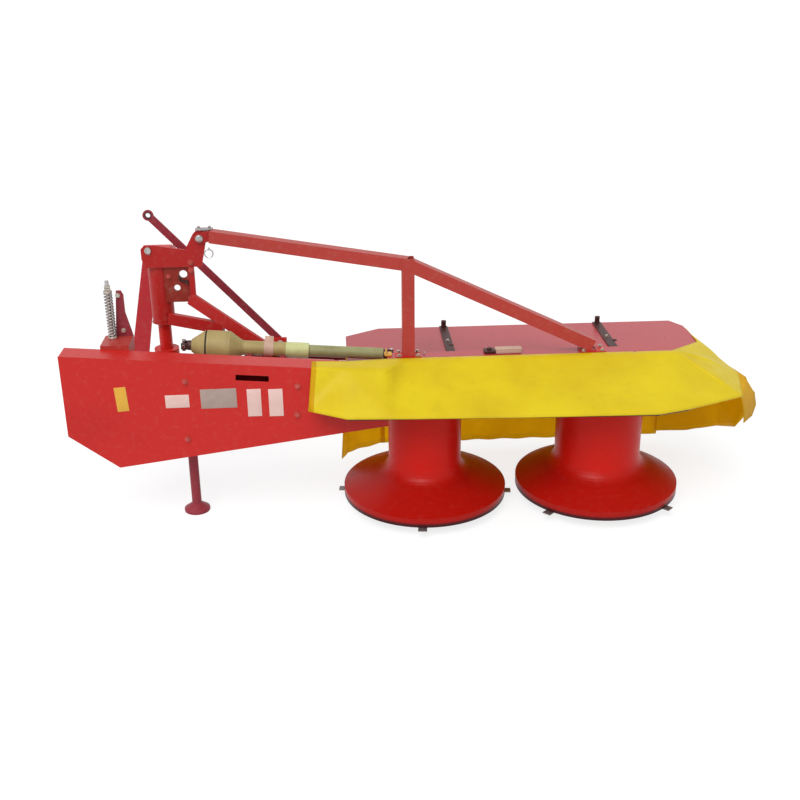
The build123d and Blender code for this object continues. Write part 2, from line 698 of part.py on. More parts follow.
# Roof plate over the front of the discs.
beam_side = beam_depth / 2
roof_corners = [(roof_left, beam_side), (roof_left, roof_front - roof_chamfer_y),
                (roof_left + roof_chamfer_x, roof_front), (roof_right - roof_end_chamfer_x, roof_front),
                (roof_right, roof_front - roof_end_chamfer_y), (roof_right, beam_side + roof_back_chamfer_y),
                (roof_right - roof_back_chamfer_x, beam_side)]
roof_face = make_face(Polyline(*[(x, y, roof_base) for x, y in roof_corners], close=True))
save("roof_plate", extrude(roof_face, amount=roof_sheet, dir=(0, 0, 1)))
roof_arms = []
roof_straps = []
for strap_x in strap_places:
    left = strap_x - strap_width / 2
    right = strap_x + strap_width / 2
    roof_arms.append(block(left, right, beam_side, front_y - knob_inset, roof_base - arm_height, roof_base))
    strap = block(left, right, strap_near, roof_front - strap_edge, roof_top, roof_top + strap_height)
    knob = upright_rod(knob_radius, knob_height)
    roof_straps.append(strap + Pos(strap_x, roof_front - knob_inset, roof_top + strap_height) * knob)
save("roof_arms", *roof_arms)
save("roof_straps", *roof_straps)


# Yellow curtains and the tube frame that they hang on.
def cloth_sheet(points, facets, shift):
    """A thin closed sheet: facets name its outer corners, and the shift is its thickness."""
    inner = {name: tuple(Vector(*point) + Vector(*shift)) for name, point in points.items()}
    faces = []
    edges = {}
    for facet in facets:
        faces.append(Face(Wire.make_polygon([points[name] for name in facet], close=True)))
        faces.append(Face(Wire.make_polygon([inner[name] for name in reversed(facet)], close=True)))
        for first, second in zip(facet, facet[1:] + facet[:1]):
            key = tuple(sorted((first, second)))
            edges[key] = edges.get(key, 0) + 1
    for (first, second), count in edges.items():
        if count == 1:
            rim = [points[first], points[second], inner[second], inner[first]]
            faces.append(Face(Wire.make_polygon(rim, close=True)))
    return Solid(Shell(faces))


sheet_top = beam_top + hem_clear
roof_hem = roof_top + 2 * cloth
case_hem = case_top_at(hem_on_case) + cover_lip + hem_clear
case_end_hem = case_top_at(case_right) + cover_lip + hem_clear
cover_edge = cover_front - cloth
right_x = outer_drum_x + hem_on_beam_end
end_x = case_right + case_end_corner[0]


def past_drum(place, height):
    """A corner given as X and Y from the outer drum's axis."""
    return (outer_drum_x + place[0], place[1], height)


rear_points = {
    "case_back": (hem_on_case, -hem_case_back, case_hem),
    "case_edge": (hem_on_case, cover_edge, case_hem),
    "case_hem": (*case_corner, hem_z),
    "corner_hem": (*left_corner, hem_z),
    "end_back": (end_x, case_back + cover_lip, case_end_hem),
    "end_edge": (end_x, cover_edge, case_end_hem),
    "end_hem": (end_x, case_end_corner[1], hem_z),
    "beam_back": (hem_on_beam, -hem_behind, sheet_top),
    "beam_edge": (hem_on_beam, -beam_side - hem_clear, sheet_top),
    "right_back": (right_x, -hem_behind, sheet_top),
    "right_edge": (right_x, -beam_side - hem_clear, sheet_top),
    "long_hem": past_drum(long_corner, hem_z),
    "turn_hem": past_drum(turn_corner, hem_z),
    "near_corner": past_drum(near_corner, hem_z),
    "side_corner": past_drum(side_corner, hem_z),
    "far_side": past_drum(far_side, hem_z),
    "far_corner": past_drum(far_corner, hem_z),
    "roof_corner": (roof_right + hem_clear, roof_meets[0], roof_hem),
    "roof_far": (roof_right + hem_clear, roof_meets[1], roof_hem),
}
rear_facets = [
    ("case_back", "case_edge", "end_edge"), ("case_back", "end_edge", "end_back"),
    ("case_edge", "case_hem", "corner_hem"), ("case_edge", "corner_hem", "end_edge"),
    ("end_edge", "corner_hem", "end_hem"), ("end_back", "end_edge", "beam_edge"),
    ("end_back", "beam_edge", "beam_back"), ("end_edge", "end_hem", "beam_edge"),
    ("beam_back", "beam_edge", "right_edge", "right_back"), ("beam_edge", "end_hem", "long_hem"),
    ("beam_edge", "long_hem", "right_edge"), ("right_edge", "long_hem", "turn_hem"),
    ("right_edge", "turn_hem", "near_corner"), ("right_edge", "near_corner", "side_corner"),
    ("right_back", "right_edge", "side_corner"), ("right_back", "side_corner", "roof_corner"),
    ("roof_corner", "side_corner", "far_side"), ("roof_corner", "far_side", "roof_far"),
    ("roof_far", "far_side", "far_corner"),
]
save("rear_curtain", cloth_sheet(rear_points, rear_facets, (0, 0, -cloth)))

def beside(path, distance):
    """The same path, moved to its left by a distance."""
    moved = []
    for index, (x, y) in enumerate(path):
        legs = [(path[i + 1][0] - path[i][0], path[i + 1][1] - path[i][1])
                for i in (index - 1, index) if 0 <= i < len(path) - 1]
        normals = [(-dy / hypot(dx, dy), dx / hypot(dx, dy)) for dx, dy in legs]
        nx = sum(n[0] for n in normals) / len(normals)
        ny = sum(n[1] for n in normals) / len(normals)
        size = nx * nx + ny * ny
        moved.append((x + distance * nx / size, y + distance * ny / size))
    return moved


# The frame follows the near curtain's hem a little way behind it, close under the cloth,
# which is flattest over the frame's long corner.
long_fall = (sheet_top - hem_z) / (-beam_side - hem_clear - long_corner[1])
cloth_over = frame_inset * long_fall
tube_z = hem_z - cloth + cloth_over - (frame_ball + running_gap) * hypot(1, long_fall)
frame_names = ["corner_hem", "long_hem", "turn_hem", "near_corner", "side_corner", "far_side", "far_corner"]
hem_path = [rear_points[name][:2] for name in frame_names]
frame_path = [(x, y, tube_z) for x, y in beside(hem_path, frame_inset)]
frame = rod(frame_path[0], frame_path[1], frame_tube)
for first, second in zip(frame_path[1:], frame_path[2:]):
    frame += Pos(*first) * Sphere(frame_ball) + rod(first, second, frame_tube)
arm_z = beam_base + frame_drop
long_start = Vector(*frame_path[0])
long_span = Vector(*frame_path[1]) - long_start
for arm_x in frame_arms:
    foot_y = (long_start + long_span * ((arm_x - long_start.X) / long_span.X)).Y
    frame += rod((arm_x, -beam_side, arm_z), (arm_x, foot_y, tube_z), frame_tube)
side_name = frame_names.index("side_corner")
frame += rod((beam_right - beam_wall, 0, arm_z), frame_path[side_name], frame_tube)
beam_core = block(case_right, beam_right, -beam_side, beam_side, beam_base, beam_top)
save("curtain_frame", frame - beam_core)

front_end = outer_drum_x + front_reach
save("front_curtain", block(roof_left + roof_chamfer_x, front_end, front_y, front_y + cloth,
                            low_hem, roof_base - running_gap))


# The left curtain hangs from the roof's edge and stands out at its foot.
front_left = roof_left + roof_chamfer_x - cloth
side_y = front_y - roof_chamfer_y
end_y = front_y - left_end
left_top = roof_base - running_gap
left_points = {
    "front_top": (front_left, front_y, left_top),
    "side_top": (roof_left + cloth, side_y, left_top),
    "end_top": (roof_left + cloth, end_y, left_top),
    "front_low": (front_left, front_y, low_hem),
    "side_low": (roof_left - left_lean, side_y, low_hem),
    "end_low": (roof_left - left_end_lean, end_y, low_hem),
}
left_facets = [
    ("front_top", "side_top", "front_low"), ("side_top", "side_low", "front_low"),
    ("side_top", "end_top", "side_low"), ("end_top", "end_low", "side_low"),
]
save("left_curtain", cloth_sheet(left_points, left_facets, (cloth, -cloth / 2, 0)))

# The end curtain hangs on the frame's outer side, its near corner pleated outwards.
end_names = ["near_corner", "side_corner", "far_side", "far_corner"]
end_path = [frame_path[frame_names.index(name)][:2] for name in end_names]
end_path.append((front_end - front_end_gap, front_y + cloth))
end_shift = (-cloth, -cloth / 2, 0)
end_gap = frame_ball + hypot(*end_shift) + running_gap
end_top = hem_z - hem_clear
end_points = {name: (x, y, end_top)
              for name, (x, y) in zip([*end_names, "front_end"], beside(end_path, -end_gap))}
end_points.update({
    "near_low": past_drum(near_low[:2], near_low[2]),
    "pleat": past_drum(pleat[:2], pleat[2]),
    "side_low": past_drum(side_low[:2], side_low[2]),
    "far_side_low": past_drum(far_side_low[:2], far_side_low[2]),
    "far_corner_low": past_drum(far_corner_low[:2], far_corner_low[2]),
    "front_low": (end_points["front_end"][0], end_points["front_end"][1], low_hem),
})
end_facets = [
    ("near_corner", "pleat", "near_low"), ("near_corner", "side_corner", "pleat"),
    ("side_corner", "side_low", "pleat"), ("side_corner", "far_side", "far_side_low"),
    ("side_corner", "far_side_low", "side_low"), ("far_side", "far_corner", "far_corner_low"),
    ("far_side", "far_corner_low", "far_side_low"), ("far_corner", "front_end", "front_low"),
    ("far_corner", "front_low", "far_corner_low"),
]
save("end_curtain", cloth_sheet(end_points, end_facets, end_shift))

# The origin goes to the middle of the outer box, at floor level.
boxes = [solid.bounding_box() for solids in pieces.values() for solid in solids]
middle_x = (min(box.min.X for box in boxes) + max(box.max.X for box in boxes)) / 2
middle_y = (min(box.min.Y for box in boxes) + max(box.max.Y for box in boxes)) / 2
to_origin = Pos(-middle_x, -middle_y, 0)
for node, solids in pieces.items():
    moved = [to_origin * solid for solid in solids]
    export_step(moved[0] if len(moved) == 1 else Compound(children=moved), f"parts/{node}.step")
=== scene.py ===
import bpy
import bmesh
import json
import math
import random
from itertools import accumulate
from mathutils import Matrix, Vector, noise


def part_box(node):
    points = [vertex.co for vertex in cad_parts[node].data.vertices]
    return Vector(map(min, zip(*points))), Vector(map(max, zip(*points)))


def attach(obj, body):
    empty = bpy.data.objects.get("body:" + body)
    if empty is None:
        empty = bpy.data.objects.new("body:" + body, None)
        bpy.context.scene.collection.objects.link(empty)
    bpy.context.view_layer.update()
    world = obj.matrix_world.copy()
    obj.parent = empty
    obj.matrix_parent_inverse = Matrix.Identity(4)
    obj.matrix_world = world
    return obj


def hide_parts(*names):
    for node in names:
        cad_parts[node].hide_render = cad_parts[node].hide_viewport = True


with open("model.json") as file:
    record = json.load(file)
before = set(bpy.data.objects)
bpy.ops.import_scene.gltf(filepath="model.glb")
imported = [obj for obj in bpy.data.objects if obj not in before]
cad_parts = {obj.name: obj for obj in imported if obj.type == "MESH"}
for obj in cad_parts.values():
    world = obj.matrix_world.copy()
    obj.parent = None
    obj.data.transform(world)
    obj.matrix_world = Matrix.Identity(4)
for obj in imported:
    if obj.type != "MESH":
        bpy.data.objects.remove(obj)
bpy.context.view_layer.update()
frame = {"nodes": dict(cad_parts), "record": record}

# places are measured from a point at floor level, 24 mm from the inner drum's axis
drumLow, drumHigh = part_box("drum_inner")
home = ((drumLow.x + drumHigh.x) / 2 + 0.024, (drumLow.y + drumHigh.y) / 2)


def at(x, y, z):
    return Vector((home[0] + x / 1000, home[1] + y / 1000, z / 1000))  # from mm


# shader nodes
def noiseFrom(tree, vector, scale, detail=3.0, rough=0.5):
    node = tree.nodes.new("ShaderNodeTexNoise")
    node.inputs["Scale"].default_value = scale
    node.inputs["Detail"].default_value = detail
    node.inputs["Roughness"].default_value = rough
    tree.links.new(vector, node.inputs["Vector"])
    return node.outputs["Fac"]


def ranged(tree, value, low, high, outLow=0.0, outHigh=1.0):
    node = tree.nodes.new("ShaderNodeMapRange")
    node.inputs["From Min"].default_value = low
    node.inputs["From Max"].default_value = high
    node.inputs["To Min"].default_value = outLow
    node.inputs["To Max"].default_value = outHigh
    tree.links.new(value, node.inputs["Value"])
    return node.outputs["Result"]


def maths(tree, operation, first, second=None):
    node = tree.nodes.new("ShaderNodeMath")
    node.operation = operation
    node.use_clamp = operation == "MULTIPLY"
    for socket, value in zip(node.inputs, (first, second)):
        if isinstance(value, (int, float)):
            socket.default_value = value
        elif value is not None:
            tree.links.new(value, socket)
    return node.outputs[0]


def scaled(tree, value, factor):
    product = maths(tree, "MULTIPLY", value, factor)
    product.node.use_clamp = False  # it may pass 1
    return product


def blendColours(tree, share, first, second):
    node = tree.nodes.new("ShaderNodeMix")
    node.data_type = "RGBA"
    for socket, value in ((node.inputs[6], first), (node.inputs[7], second)):
        if isinstance(value, tuple):
            socket.default_value = (*value, 1)
        else:
            tree.links.new(value, socket)
    tree.links.new(share, node.inputs[0])
    return node.outputs[2]


def joinShader(tree, colour, rough, normal, gloss=0.5, metal=0.0):
    shader = tree.nodes["Principled BSDF"]
    for name, value in (("Base Color", colour), ("Roughness", rough), ("Normal", normal)):
        tree.links.new(value, shader.inputs[name])
    shader.inputs["Specular IOR Level"].default_value = gloss
    shader.inputs["Metallic"].default_value = metal
    return shader.outputs[0]


def mixShaders(tree, share, first, second):
    node = tree.nodes.new("ShaderNodeMixShader")
    if isinstance(share, float):
        node.inputs[0].default_value = share
    else:
        tree.links.new(share, node.inputs[0])
    tree.links.new(first, node.inputs[1])
    tree.links.new(second, node.inputs[2])
    return node.outputs[0]


def plainShader(tree, kind, colour, strength=None):
    node = tree.nodes.new(kind)
    node.inputs["Color"].default_value = (*colour, 1)
    if strength is not None:
        node.inputs["Strength"].default_value = strength
    return node.outputs[0]


def bumped(tree, height, strength, distance, below=None):
    node = tree.nodes.new("ShaderNodeBump")
    node.inputs["Strength"].default_value = strength
    node.inputs["Distance"].default_value = distance
    tree.links.new(height, node.inputs["Height"])
    if below is not None:
        tree.links.new(below, node.inputs["Normal"])
    return node.outputs["Normal"]


def makeObject(name, bm, *materials):
    mesh = bpy.data.meshes.new(name)
    bm.to_mesh(mesh)
    bm.free()
    for material in materials:
        mesh.materials.append(material)
    made = bpy.data.objects.new(name, mesh)
    bpy.context.collection.objects.link(made)
    return made


# camera, lamps and floor
view = {
    "place": (-0.3991, -5.0091, 2.5681),
    "pitch": 22.64,  # degrees down
    "turn": 3.33,  # degrees to the right
    "roll": 0.52,
    "lens": 49.5,
    "sensor": 36.0,
}
light = {
    "sunPower": 1.9,
    "sunSize": 38.0,  # degrees, for soft edges
    "sunFrom": (-0.45, -1.0, 1.35),
    "white": (1, 1, 1),  # the background that is seen and mirrored
    "skyStrength": 0.62,
    "skyColour": (0.96, 0.98, 1.0),
    "floorSize": 120.0,
    "floorGlow": 0.80,  # what the camera sees of the floor without light
    "floorTone": (0.26, 0.26, 0.26),
    "floorBounce": (0.7, 0.7, 0.7),  # what it throws back on the machine
}


def placeCamera():
    data = bpy.data.cameras.new("camera")
    data.lens = view["lens"]
    data.sensor_width = view["sensor"]
    camera = bpy.data.objects.new("camera", data)
    bpy.context.collection.objects.link(camera)
    turn = Matrix.Rotation(math.radians(-view["turn"]), 4, "Z")
    pitch = Matrix.Rotation(math.radians(90 - view["pitch"]), 4, "X")
    roll = Matrix.Rotation(math.radians(-view["roll"]), 4, "Z")
    camera.matrix_world = Matrix.Translation(view["place"]) @ turn @ pitch @ roll
    bpy.context.scene.camera = camera


def makeSun():
    data = bpy.data.lights.new("softSun", "SUN")
    data.energy = light["sunPower"]
    data.angle = math.radians(light["sunSize"])
    lamp = bpy.data.objects.new("softSun", data)
    bpy.context.collection.objects.link(lamp)
    lamp.matrix_world = Vector(light["sunFrom"]).to_track_quat("Z", "Y").to_matrix().to_4x4()


def whiteRays(tree):
    rays = tree.nodes.new("ShaderNodeLightPath").outputs
    seen = maths(tree, "MAXIMUM", rays["Is Camera Ray"], rays["Is Glossy Ray"])
    return maths(tree, "MAXIMUM", seen, rays["Is Transmission Ray"])


def makeWorld():
    world = bpy.data.worlds.new("studio")
    world.use_nodes = True
    bpy.context.scene.world = world
    tree = world.node_tree
    tree.nodes.clear()
    seen = plainShader(tree, "ShaderNodeBackground", light["white"], 1.0)
    soft = plainShader(tree, "ShaderNodeBackground", light["skyColour"], light["skyStrength"])
    out = tree.nodes.new("ShaderNodeOutputWorld")
    tree.links.new(mixShaders(tree, whiteRays(tree), soft, seen), out.inputs[0])


def makeFloor():
    bm = bmesh.new()
    bmesh.ops.create_grid(bm, x_segments=1, y_segments=1, size=light["floorSize"] / 2)
    material = bpy.data.materials.new("floorPale")
    material.use_nodes = True
    tree = material.node_tree
    tree.nodes.clear()
    matt = plainShader(tree, "ShaderNodeBsdfDiffuse", light["floorTone"])
    pale = plainShader(tree, "ShaderNodeBsdfDiffuse", light["floorBounce"])
    glow = plainShader(tree, "ShaderNodeEmission", light["white"], light["floorGlow"])
    seen = tree.nodes.new("ShaderNodeAddShader")
    tree.links.new(matt, seen.inputs[0])
    tree.links.new(glow, seen.inputs[1])
    out = tree.nodes.new("ShaderNodeOutputMaterial")
    tree.links.new(mixShaders(tree, whiteRays(tree), pale, seen.outputs[0]), out.inputs[0])
    makeObject("floor", bm, material)


bpy.context.scene.view_settings.view_transform = "Standard"
placeCamera()
makeSun()
makeWorld()
makeFloor()
print("stage ready")

# materials
# none and full: how far the rounded normal agrees with the flat one
edgeWear = {"samples": 4, "none": 0.995, "full": 0.86}


def edgeMask(tree, radius):
    bevel = tree.nodes.new("ShaderNodeBevel")
    bevel.samples = edgeWear["samples"]
    bevel.inputs["Radius"].default_value = radius
    plain = tree.nodes.new("ShaderNodeNewGeometry")
    dot = tree.nodes.new("ShaderNodeVectorMath")
    dot.operation = "DOT_PRODUCT"
    tree.links.new(bevel.outputs[0], dot.inputs[0])
    tree.links.new(plain.outputs["Normal"], dot.inputs[1])
    return ranged(tree, dot.outputs["Value"], edgeWear["none"], edgeWear["full"])


# dust is a share of the surface; a drum also has a darker foot and rim, painted shade, from and to a height
paints = {
    "redPaint": {
        "colour": (0.56, 0.016, 0.012), "deep": (0.45, 0.011, 0.009),
        "rough": 0.34, "dust": 0.10, "gloss": 0.28},
    "drumPaint": {
        "colour": (0.64, 0.011, 0.005), "deep": (0.50, 0.008, 0.004),
        "rough": 0.32, "dust": 0.03, "gloss": 0.16,
        # the darker foot is painted shade from the guard above, and the near-black rim is painted shade under
        # the disc's edge
        "foot": (0.40, 0.006, 0.003), "footAt": (0.235, 0.165),
        "rim": (0.055, 0.006, 0.008), "rimAt": (0.074, 0.062)},
    # the column, hoop, deep red, leg, roof and latch paints are darker copies of the one red paint, painted
    # shade; the roof copy is also pinker, a painted reflection of the white sky
    "columnShadedRed": {
        "colour": (0.42, 0.014, 0.012), "deep": (0.32, 0.01, 0.009),
        "rough": 0.36, "dust": 0.12, "gloss": 0.25},
    "hoopShadedRed": {
        "colour": (0.42, 0.042, 0.032), "deep": (0.34, 0.03, 0.024),
        "rough": 0.36, "dust": 0.14, "gloss": 0.25},
    "deepShadedRed": {
        "colour": (0.28, 0.03, 0.044), "deep": (0.21, 0.02, 0.032),
        "rough": 0.40, "dust": 0.12, "gloss": 0.25},
    "legShadedRed": {
        "colour": (0.50, 0.036, 0.044), "deep": (0.42, 0.026, 0.034),
        "rough": 0.36, "dust": 0.12, "gloss": 0.25},
    "roofShadedSheenRed": {
        "colour": (0.44, 0.036, 0.046), "deep": (0.37, 0.026, 0.036),
        "rough": 0.30, "dust": 0.16, "gloss": 0.40},
    "darkPaint": {
        "colour": (0.05, 0.012, 0.01), "deep": (0.03, 0.009, 0.008),
        "rough": 0.45, "dust": 0.20, "gloss": 0.30},
    "latchShadedRed": {
        "colour": (0.26, 0.024, 0.014), "deep": (0.20, 0.018, 0.011),
        "rough": 0.42, "dust": 0.16, "gloss": 0.25},
}
paintWear = {
    "patches": 2.6,  # noise scales, a larger one is finer
    "specks": 34.0,
    "waves": 9.0,
    "waveBump": (0.05, 0.01),  # strength, and depth in metres
    "peel": 420.0,
    "peelBump": (0.06, 0.0005),
    "dust": (0.50, 0.40, 0.30),
    "chipWidth": 0.0035,  # metres in from an edge
    "chipShare": 0.45,
    "primer": (0.20, 0.13, 0.11),
}


def paintMaterial(tree, coords, look):
    patches = noiseFrom(tree, coords, paintWear["patches"], 4.0)
    base = blendColours(tree, ranged(tree, patches, 0.35, 0.68), look["deep"], look["colour"])
    base = blendColours(tree, ranged(tree, patches, 0.2, 0.5, 0.35, 1.0), base, look["colour"])
    # painted shade: a drum's foot and rim are darkened below their given heights
    if "foot" in look:
        split = tree.nodes.new("ShaderNodeSeparateXYZ")
        tree.links.new(coords, split.inputs[0])
        for part in ("foot", "rim"):
            high, low = look[part + "At"]
            paintedShadeBand = ranged(tree, split.outputs["Z"], high, low)
            base = blendColours(tree, paintedShadeBand, base, look[part])
    specks = noiseFrom(tree, coords, paintWear["specks"], 8.0, 0.7)
    dust = maths(tree, "MULTIPLY", ranged(tree, specks, 0.52, 0.78), look["dust"])
    base = blendColours(tree, dust, base, paintWear["dust"])
    worn = edgeMask(tree, paintWear["chipWidth"])
    chips = maths(tree, "MULTIPLY", worn, ranged(tree, specks, 0.47, 0.60))
    chipped = maths(tree, "MULTIPLY", chips, paintWear["chipShare"])
    base = blendColours(tree, chipped, base, paintWear["primer"])
    rough = ranged(tree, specks, 0.3, 0.75, look["rough"] - 0.05, look["rough"] + 0.14)
    peel = noiseFrom(tree, coords, paintWear["peel"], 2.0)
    waves = noiseFrom(tree, coords, paintWear["waves"], 2.0)
    normal = bumped(tree, peel, *paintWear["peelBump"], bumped(tree, waves, *paintWear["waveBump"]))
    joinShader(tree, base, rough, normal, look["gloss"])


metals = {
    "bareSteel": {"colour": (0.52, 0.52, 0.51), "deep": (0.34, 0.33, 0.32), "rough": 0.32, "metal": 1.0},
    "springZinc": {"colour": (0.46, 0.42, 0.41), "deep": (0.30, 0.27, 0.26), "rough": 0.42, "metal": 0.8},
    "knifeSteel": {"colour": (0.34, 0.32, 0.32), "deep": (0.20, 0.19, 0.19), "rough": 0.42, "metal": 0.8},
    "boltZinc": {"colour": (0.62, 0.58, 0.52), "deep": (0.45, 0.40, 0.34), "rough": 0.30, "metal": 0.9},
    "redBolt": {"colour": (0.56, 0.10, 0.08), "deep": (0.44, 0.05, 0.04), "rough": 0.36, "metal": 0.2},
    "yokeIron": {"colour": (0.085, 0.03, 0.028), "deep": (0.05, 0.02, 0.018), "rough": 0.48, "metal": 0.2},
    "skidSteel": {"colour": (0.06, 0.04, 0.038), "deep": (0.03, 0.022, 0.02), "rough": 0.46, "metal": 0.4},
}
metalWear = {
    "drawn": (1.0, 1.0, 0.12),  # the grain is drawn out along z
    "grain": 260.0,
    "bump": (0.18, 0.0004),
    "stains": 22.0,
    "rustShare": 0.35,
    "rust": (0.22, 0.10, 0.05),
}


def metalMaterial(tree, coords, look):
    stretch = tree.nodes.new("ShaderNodeMapping")
    stretch.inputs["Scale"].default_value = metalWear["drawn"]
    tree.links.new(coords, stretch.inputs["Vector"])
    grain = noiseFrom(tree, stretch.outputs["Vector"], metalWear["grain"], 5.0, 0.6)
    stains = noiseFrom(tree, coords, metalWear["stains"], 6.0, 0.65)
    base = blendColours(tree, ranged(tree, stains, 0.35, 0.65), look["deep"], look["colour"])
    rust = maths(tree, "MULTIPLY", ranged(tree, stains, 0.60, 0.78), metalWear["rustShare"])
    base = blendColours(tree, rust, base, metalWear["rust"])
    rough = ranged(tree, grain, 0.3, 0.7, look["rough"] - 0.07, look["rough"] + 0.12)
    joinShader(tree, base, rough, bumped(tree, grain, *metalWear["bump"]), metal=look["metal"])


plastics = {
    "guardOlive": {"colour": (0.43, 0.33, 0.13), "deep": (0.33, 0.25, 0.09), "rough": 0.46, "grain": 160},
    "guardTube": {"colour": (0.33, 0.33, 0.15), "deep": (0.24, 0.23, 0.09), "rough": 0.44, "grain": 160},
    "guardBright": {"colour": (0.60, 0.62, 0.28), "deep": (0.48, 0.50, 0.20), "rough": 0.40, "grain": 160},
    "blackRubber": {"colour": (0.03, 0.022, 0.02), "deep": (0.018, 0.014, 0.014), "rough": 0.6, "grain": 320},
    "strapBeige": {"colour": (0.60, 0.40, 0.30), "deep": (0.50, 0.32, 0.24), "rough": 0.60, "grain": 420},
    "plateWhite": {"colour": (0.80, 0.56, 0.51), "deep": (0.72, 0.47, 0.42), "rough": 0.40, "grain": 90},
    "plateYellow": {"colour": (0.76, 0.42, 0.05), "deep": (0.68, 0.34, 0.04), "rough": 0.40, "grain": 90},
    "plateGrey": {"colour": (0.43, 0.32, 0.28), "deep": (0.36, 0.26, 0.22), "rough": 0.36, "grain": 90},
}
plasticWear = {
    "clouds": 11.0,
    "bump": (0.14, 0.0006),
    "scuffWidth": 0.003,
    "scuffShare": 0.35,
    "scuff": (0.55, 0.50, 0.40),
    "gloss": 0.35,
}


def plasticMaterial(tree, coords, look):
    cloud = noiseFrom(tree, coords, plasticWear["clouds"], 5.0, 0.6)
    fine = noiseFrom(tree, coords, look["grain"], 3.0)
    base = blendColours(tree, ranged(tree, cloud, 0.32, 0.66), look["deep"], look["colour"])
    rubbed = ranged(tree, fine, 0.40, 0.62, 0.0, plasticWear["scuffShare"])
    scuff = maths(tree, "MULTIPLY", edgeMask(tree, plasticWear["scuffWidth"]), rubbed)
    base = blendColours(tree, scuff, base, plasticWear["scuff"])
    rough = ranged(tree, cloud, 0.3, 0.7, look["rough"] - 0.05, look["rough"] + 0.12)
    joinShader(tree, base, rough, bumped(tree, fine, *plasticWear["bump"]), plasticWear["gloss"])


# coated cloth: the near sheet keeps light out, the others let a share of it through; the inner and end cloths
# are copies of the same yellow cloth, brighter and more orange: painted shade and back light
cloths = {
    "yellowCloth": {"colour": (0.70, 0.53, 0.006), "shade": (0.60, 0.42, 0.004), "through": 0.0},
    "innerClothShadedCopy": {"colour": (0.94, 0.68, 0.016), "shade": (0.86, 0.59, 0.012), "through": 0.62},
    "endClothShadedCopy": {"colour": (0.90, 0.64, 0.01), "shade": (0.82, 0.55, 0.008), "through": 0.56},
}
clothWeave = {
    "thread": 0.0022,  # metres from thread to thread
    "threadBump": (0.16, 0.0004),
    "hemLine": 0.026,  # metres from the hem up to the seam
    "seamWidth": 0.0022,
    "stitch": 0.006,
    "seamShare": 0.55,
    "seam": (0.42, 0.24, 0.02),
    "seamBump": (0.4, 0.001),
    "rough": 0.46,
    "gloss": 0.22,
    "clouds": 3.2,
    "stains": 17.0,
    "stainShare": 0.20,
    "grime": (0.30, 0.19, 0.03),
    "crinkle": 26.0,
    "crinkleBump": (0.16, 0.006),
}


def clothMaterial(tree, coords, look):
    split = tree.nodes.new("ShaderNodeSeparateXYZ")
    tree.links.new(coords.node.outputs["UV"], split.inputs[0])
    turns = 2 * math.pi / clothWeave["thread"]
    warp = maths(tree, "SINE", scaled(tree, split.outputs["X"], turns))
    weft = maths(tree, "SINE", scaled(tree, split.outputs["Y"], turns))
    weave = maths(tree, "MAXIMUM", warp, weft)
    cloud = noiseFrom(tree, coords, clothWeave["clouds"], 5.0, 0.55)
    base = blendColours(tree, ranged(tree, cloud, 0.30, 0.62), look["shade"], look["colour"])
    grime = noiseFrom(tree, coords, clothWeave["stains"], 7.0, 0.68)
    stain = maths(tree, "MULTIPLY", ranged(tree, grime, 0.56, 0.80), clothWeave["stainShare"])
    base = blendColours(tree, stain, base, clothWeave["grime"])
    away = maths(tree, "ABSOLUTE", maths(tree, "SUBTRACT", split.outputs["Y"], clothWeave["hemLine"]))
    line = ranged(tree, away, 0.0, clothWeave["seamWidth"], 1.0, 0.0)
    dash = maths(tree, "SINE", scaled(tree, split.outputs["X"], 2 * math.pi / clothWeave["stitch"]))
    seam = maths(tree, "MULTIPLY", line, ranged(tree, dash, -0.4, 0.4))
    stitches = maths(tree, "MULTIPLY", seam, clothWeave["seamShare"])
    base = blendColours(tree, stitches, base, clothWeave["seam"])
    rough = ranged(tree, grime, 0.3, 0.7, clothWeave["rough"] - 0.07, clothWeave["rough"] + 0.12)
    crinkle = noiseFrom(tree, coords, clothWeave["crinkle"], 4.0, 0.5)
    normal = bumped(tree, crinkle, *clothWeave["crinkleBump"])
    normal = bumped(tree, weave, *clothWeave["threadBump"], normal)
    normal = bumped(tree, seam, *clothWeave["seamBump"], normal)
    front = joinShader(tree, base, rough, normal, clothWeave["gloss"])
    if look["through"]:
        lit = tree.nodes.new("ShaderNodeBsdfTranslucent")
        tree.links.new(base, lit.inputs["Color"])
        both = mixShaders(tree, look["through"], front, lit.outputs[0])
        tree.links.new(both, tree.nodes["Material Output"].inputs["Surface"])


shades = {}
for table, maker in ((paints, paintMaterial), (metals, metalMaterial),
                     (plastics, plasticMaterial), (cloths, clothMaterial)):
    for finish, look in table.items():
        shades[finish] = bpy.data.materials.new(finish)
        shades[finish].use_nodes = True
        tree = shades[finish].node_tree
        maker(tree, tree.nodes.new("ShaderNodeTexCoord").outputs["Object"], look)

slotFinish = {
    "red_paint": "redPaint", "drum_paint": "drumPaint", "dark_paint": "darkPaint",
    "yellow_cloth": "yellowCloth", "bare_steel": "bareSteel", "skid_steel": "skidSteel",
    "grey_spring": "springZinc", "shaft_guard": "guardOlive", "yoke_iron": "yokeIron",
}
nodeFinish = {  # where a piece differs from its slot; the darker red copies give painted shade
    "knifeSteel": ("knives_inner", "knives_outer"),
    "roofShadedSheenRed": ("roof_plate", "transmission_beam", "roof_arms"),
    "guardTube": ("pto_inner_half",),
    "deepShadedRed": ("stand_leg", "stand_sleeve", "spring_lever", "mast_stay", "pto_rests"),
    "hoopShadedRed": ("spring_base", "hoop_bar", "hoop_diagonal", "hoop_post"),
    "redPaint": ("kingpin",),
    "legShadedRed": ("mast_leg",),
    "latchShadedRed": ("latch_plate",),
    "columnShadedRed": ("column", "column_brace", "brace_tie", "brace_upright", "head_plate", "hoop_fork"),
}
ownFinish = {node: finish for finish, nodes in nodeFinish.items() for node in nodes}
for part in frame["record"]["subparts"]:
    finish = ownFinish.get(part["node"], slotFinish[part["material_slot"]])
    mesh = frame["nodes"][part["node"]].data
    mesh.materials.clear()
    mesh.materials.append(shades[finish])
print("finishes ready")


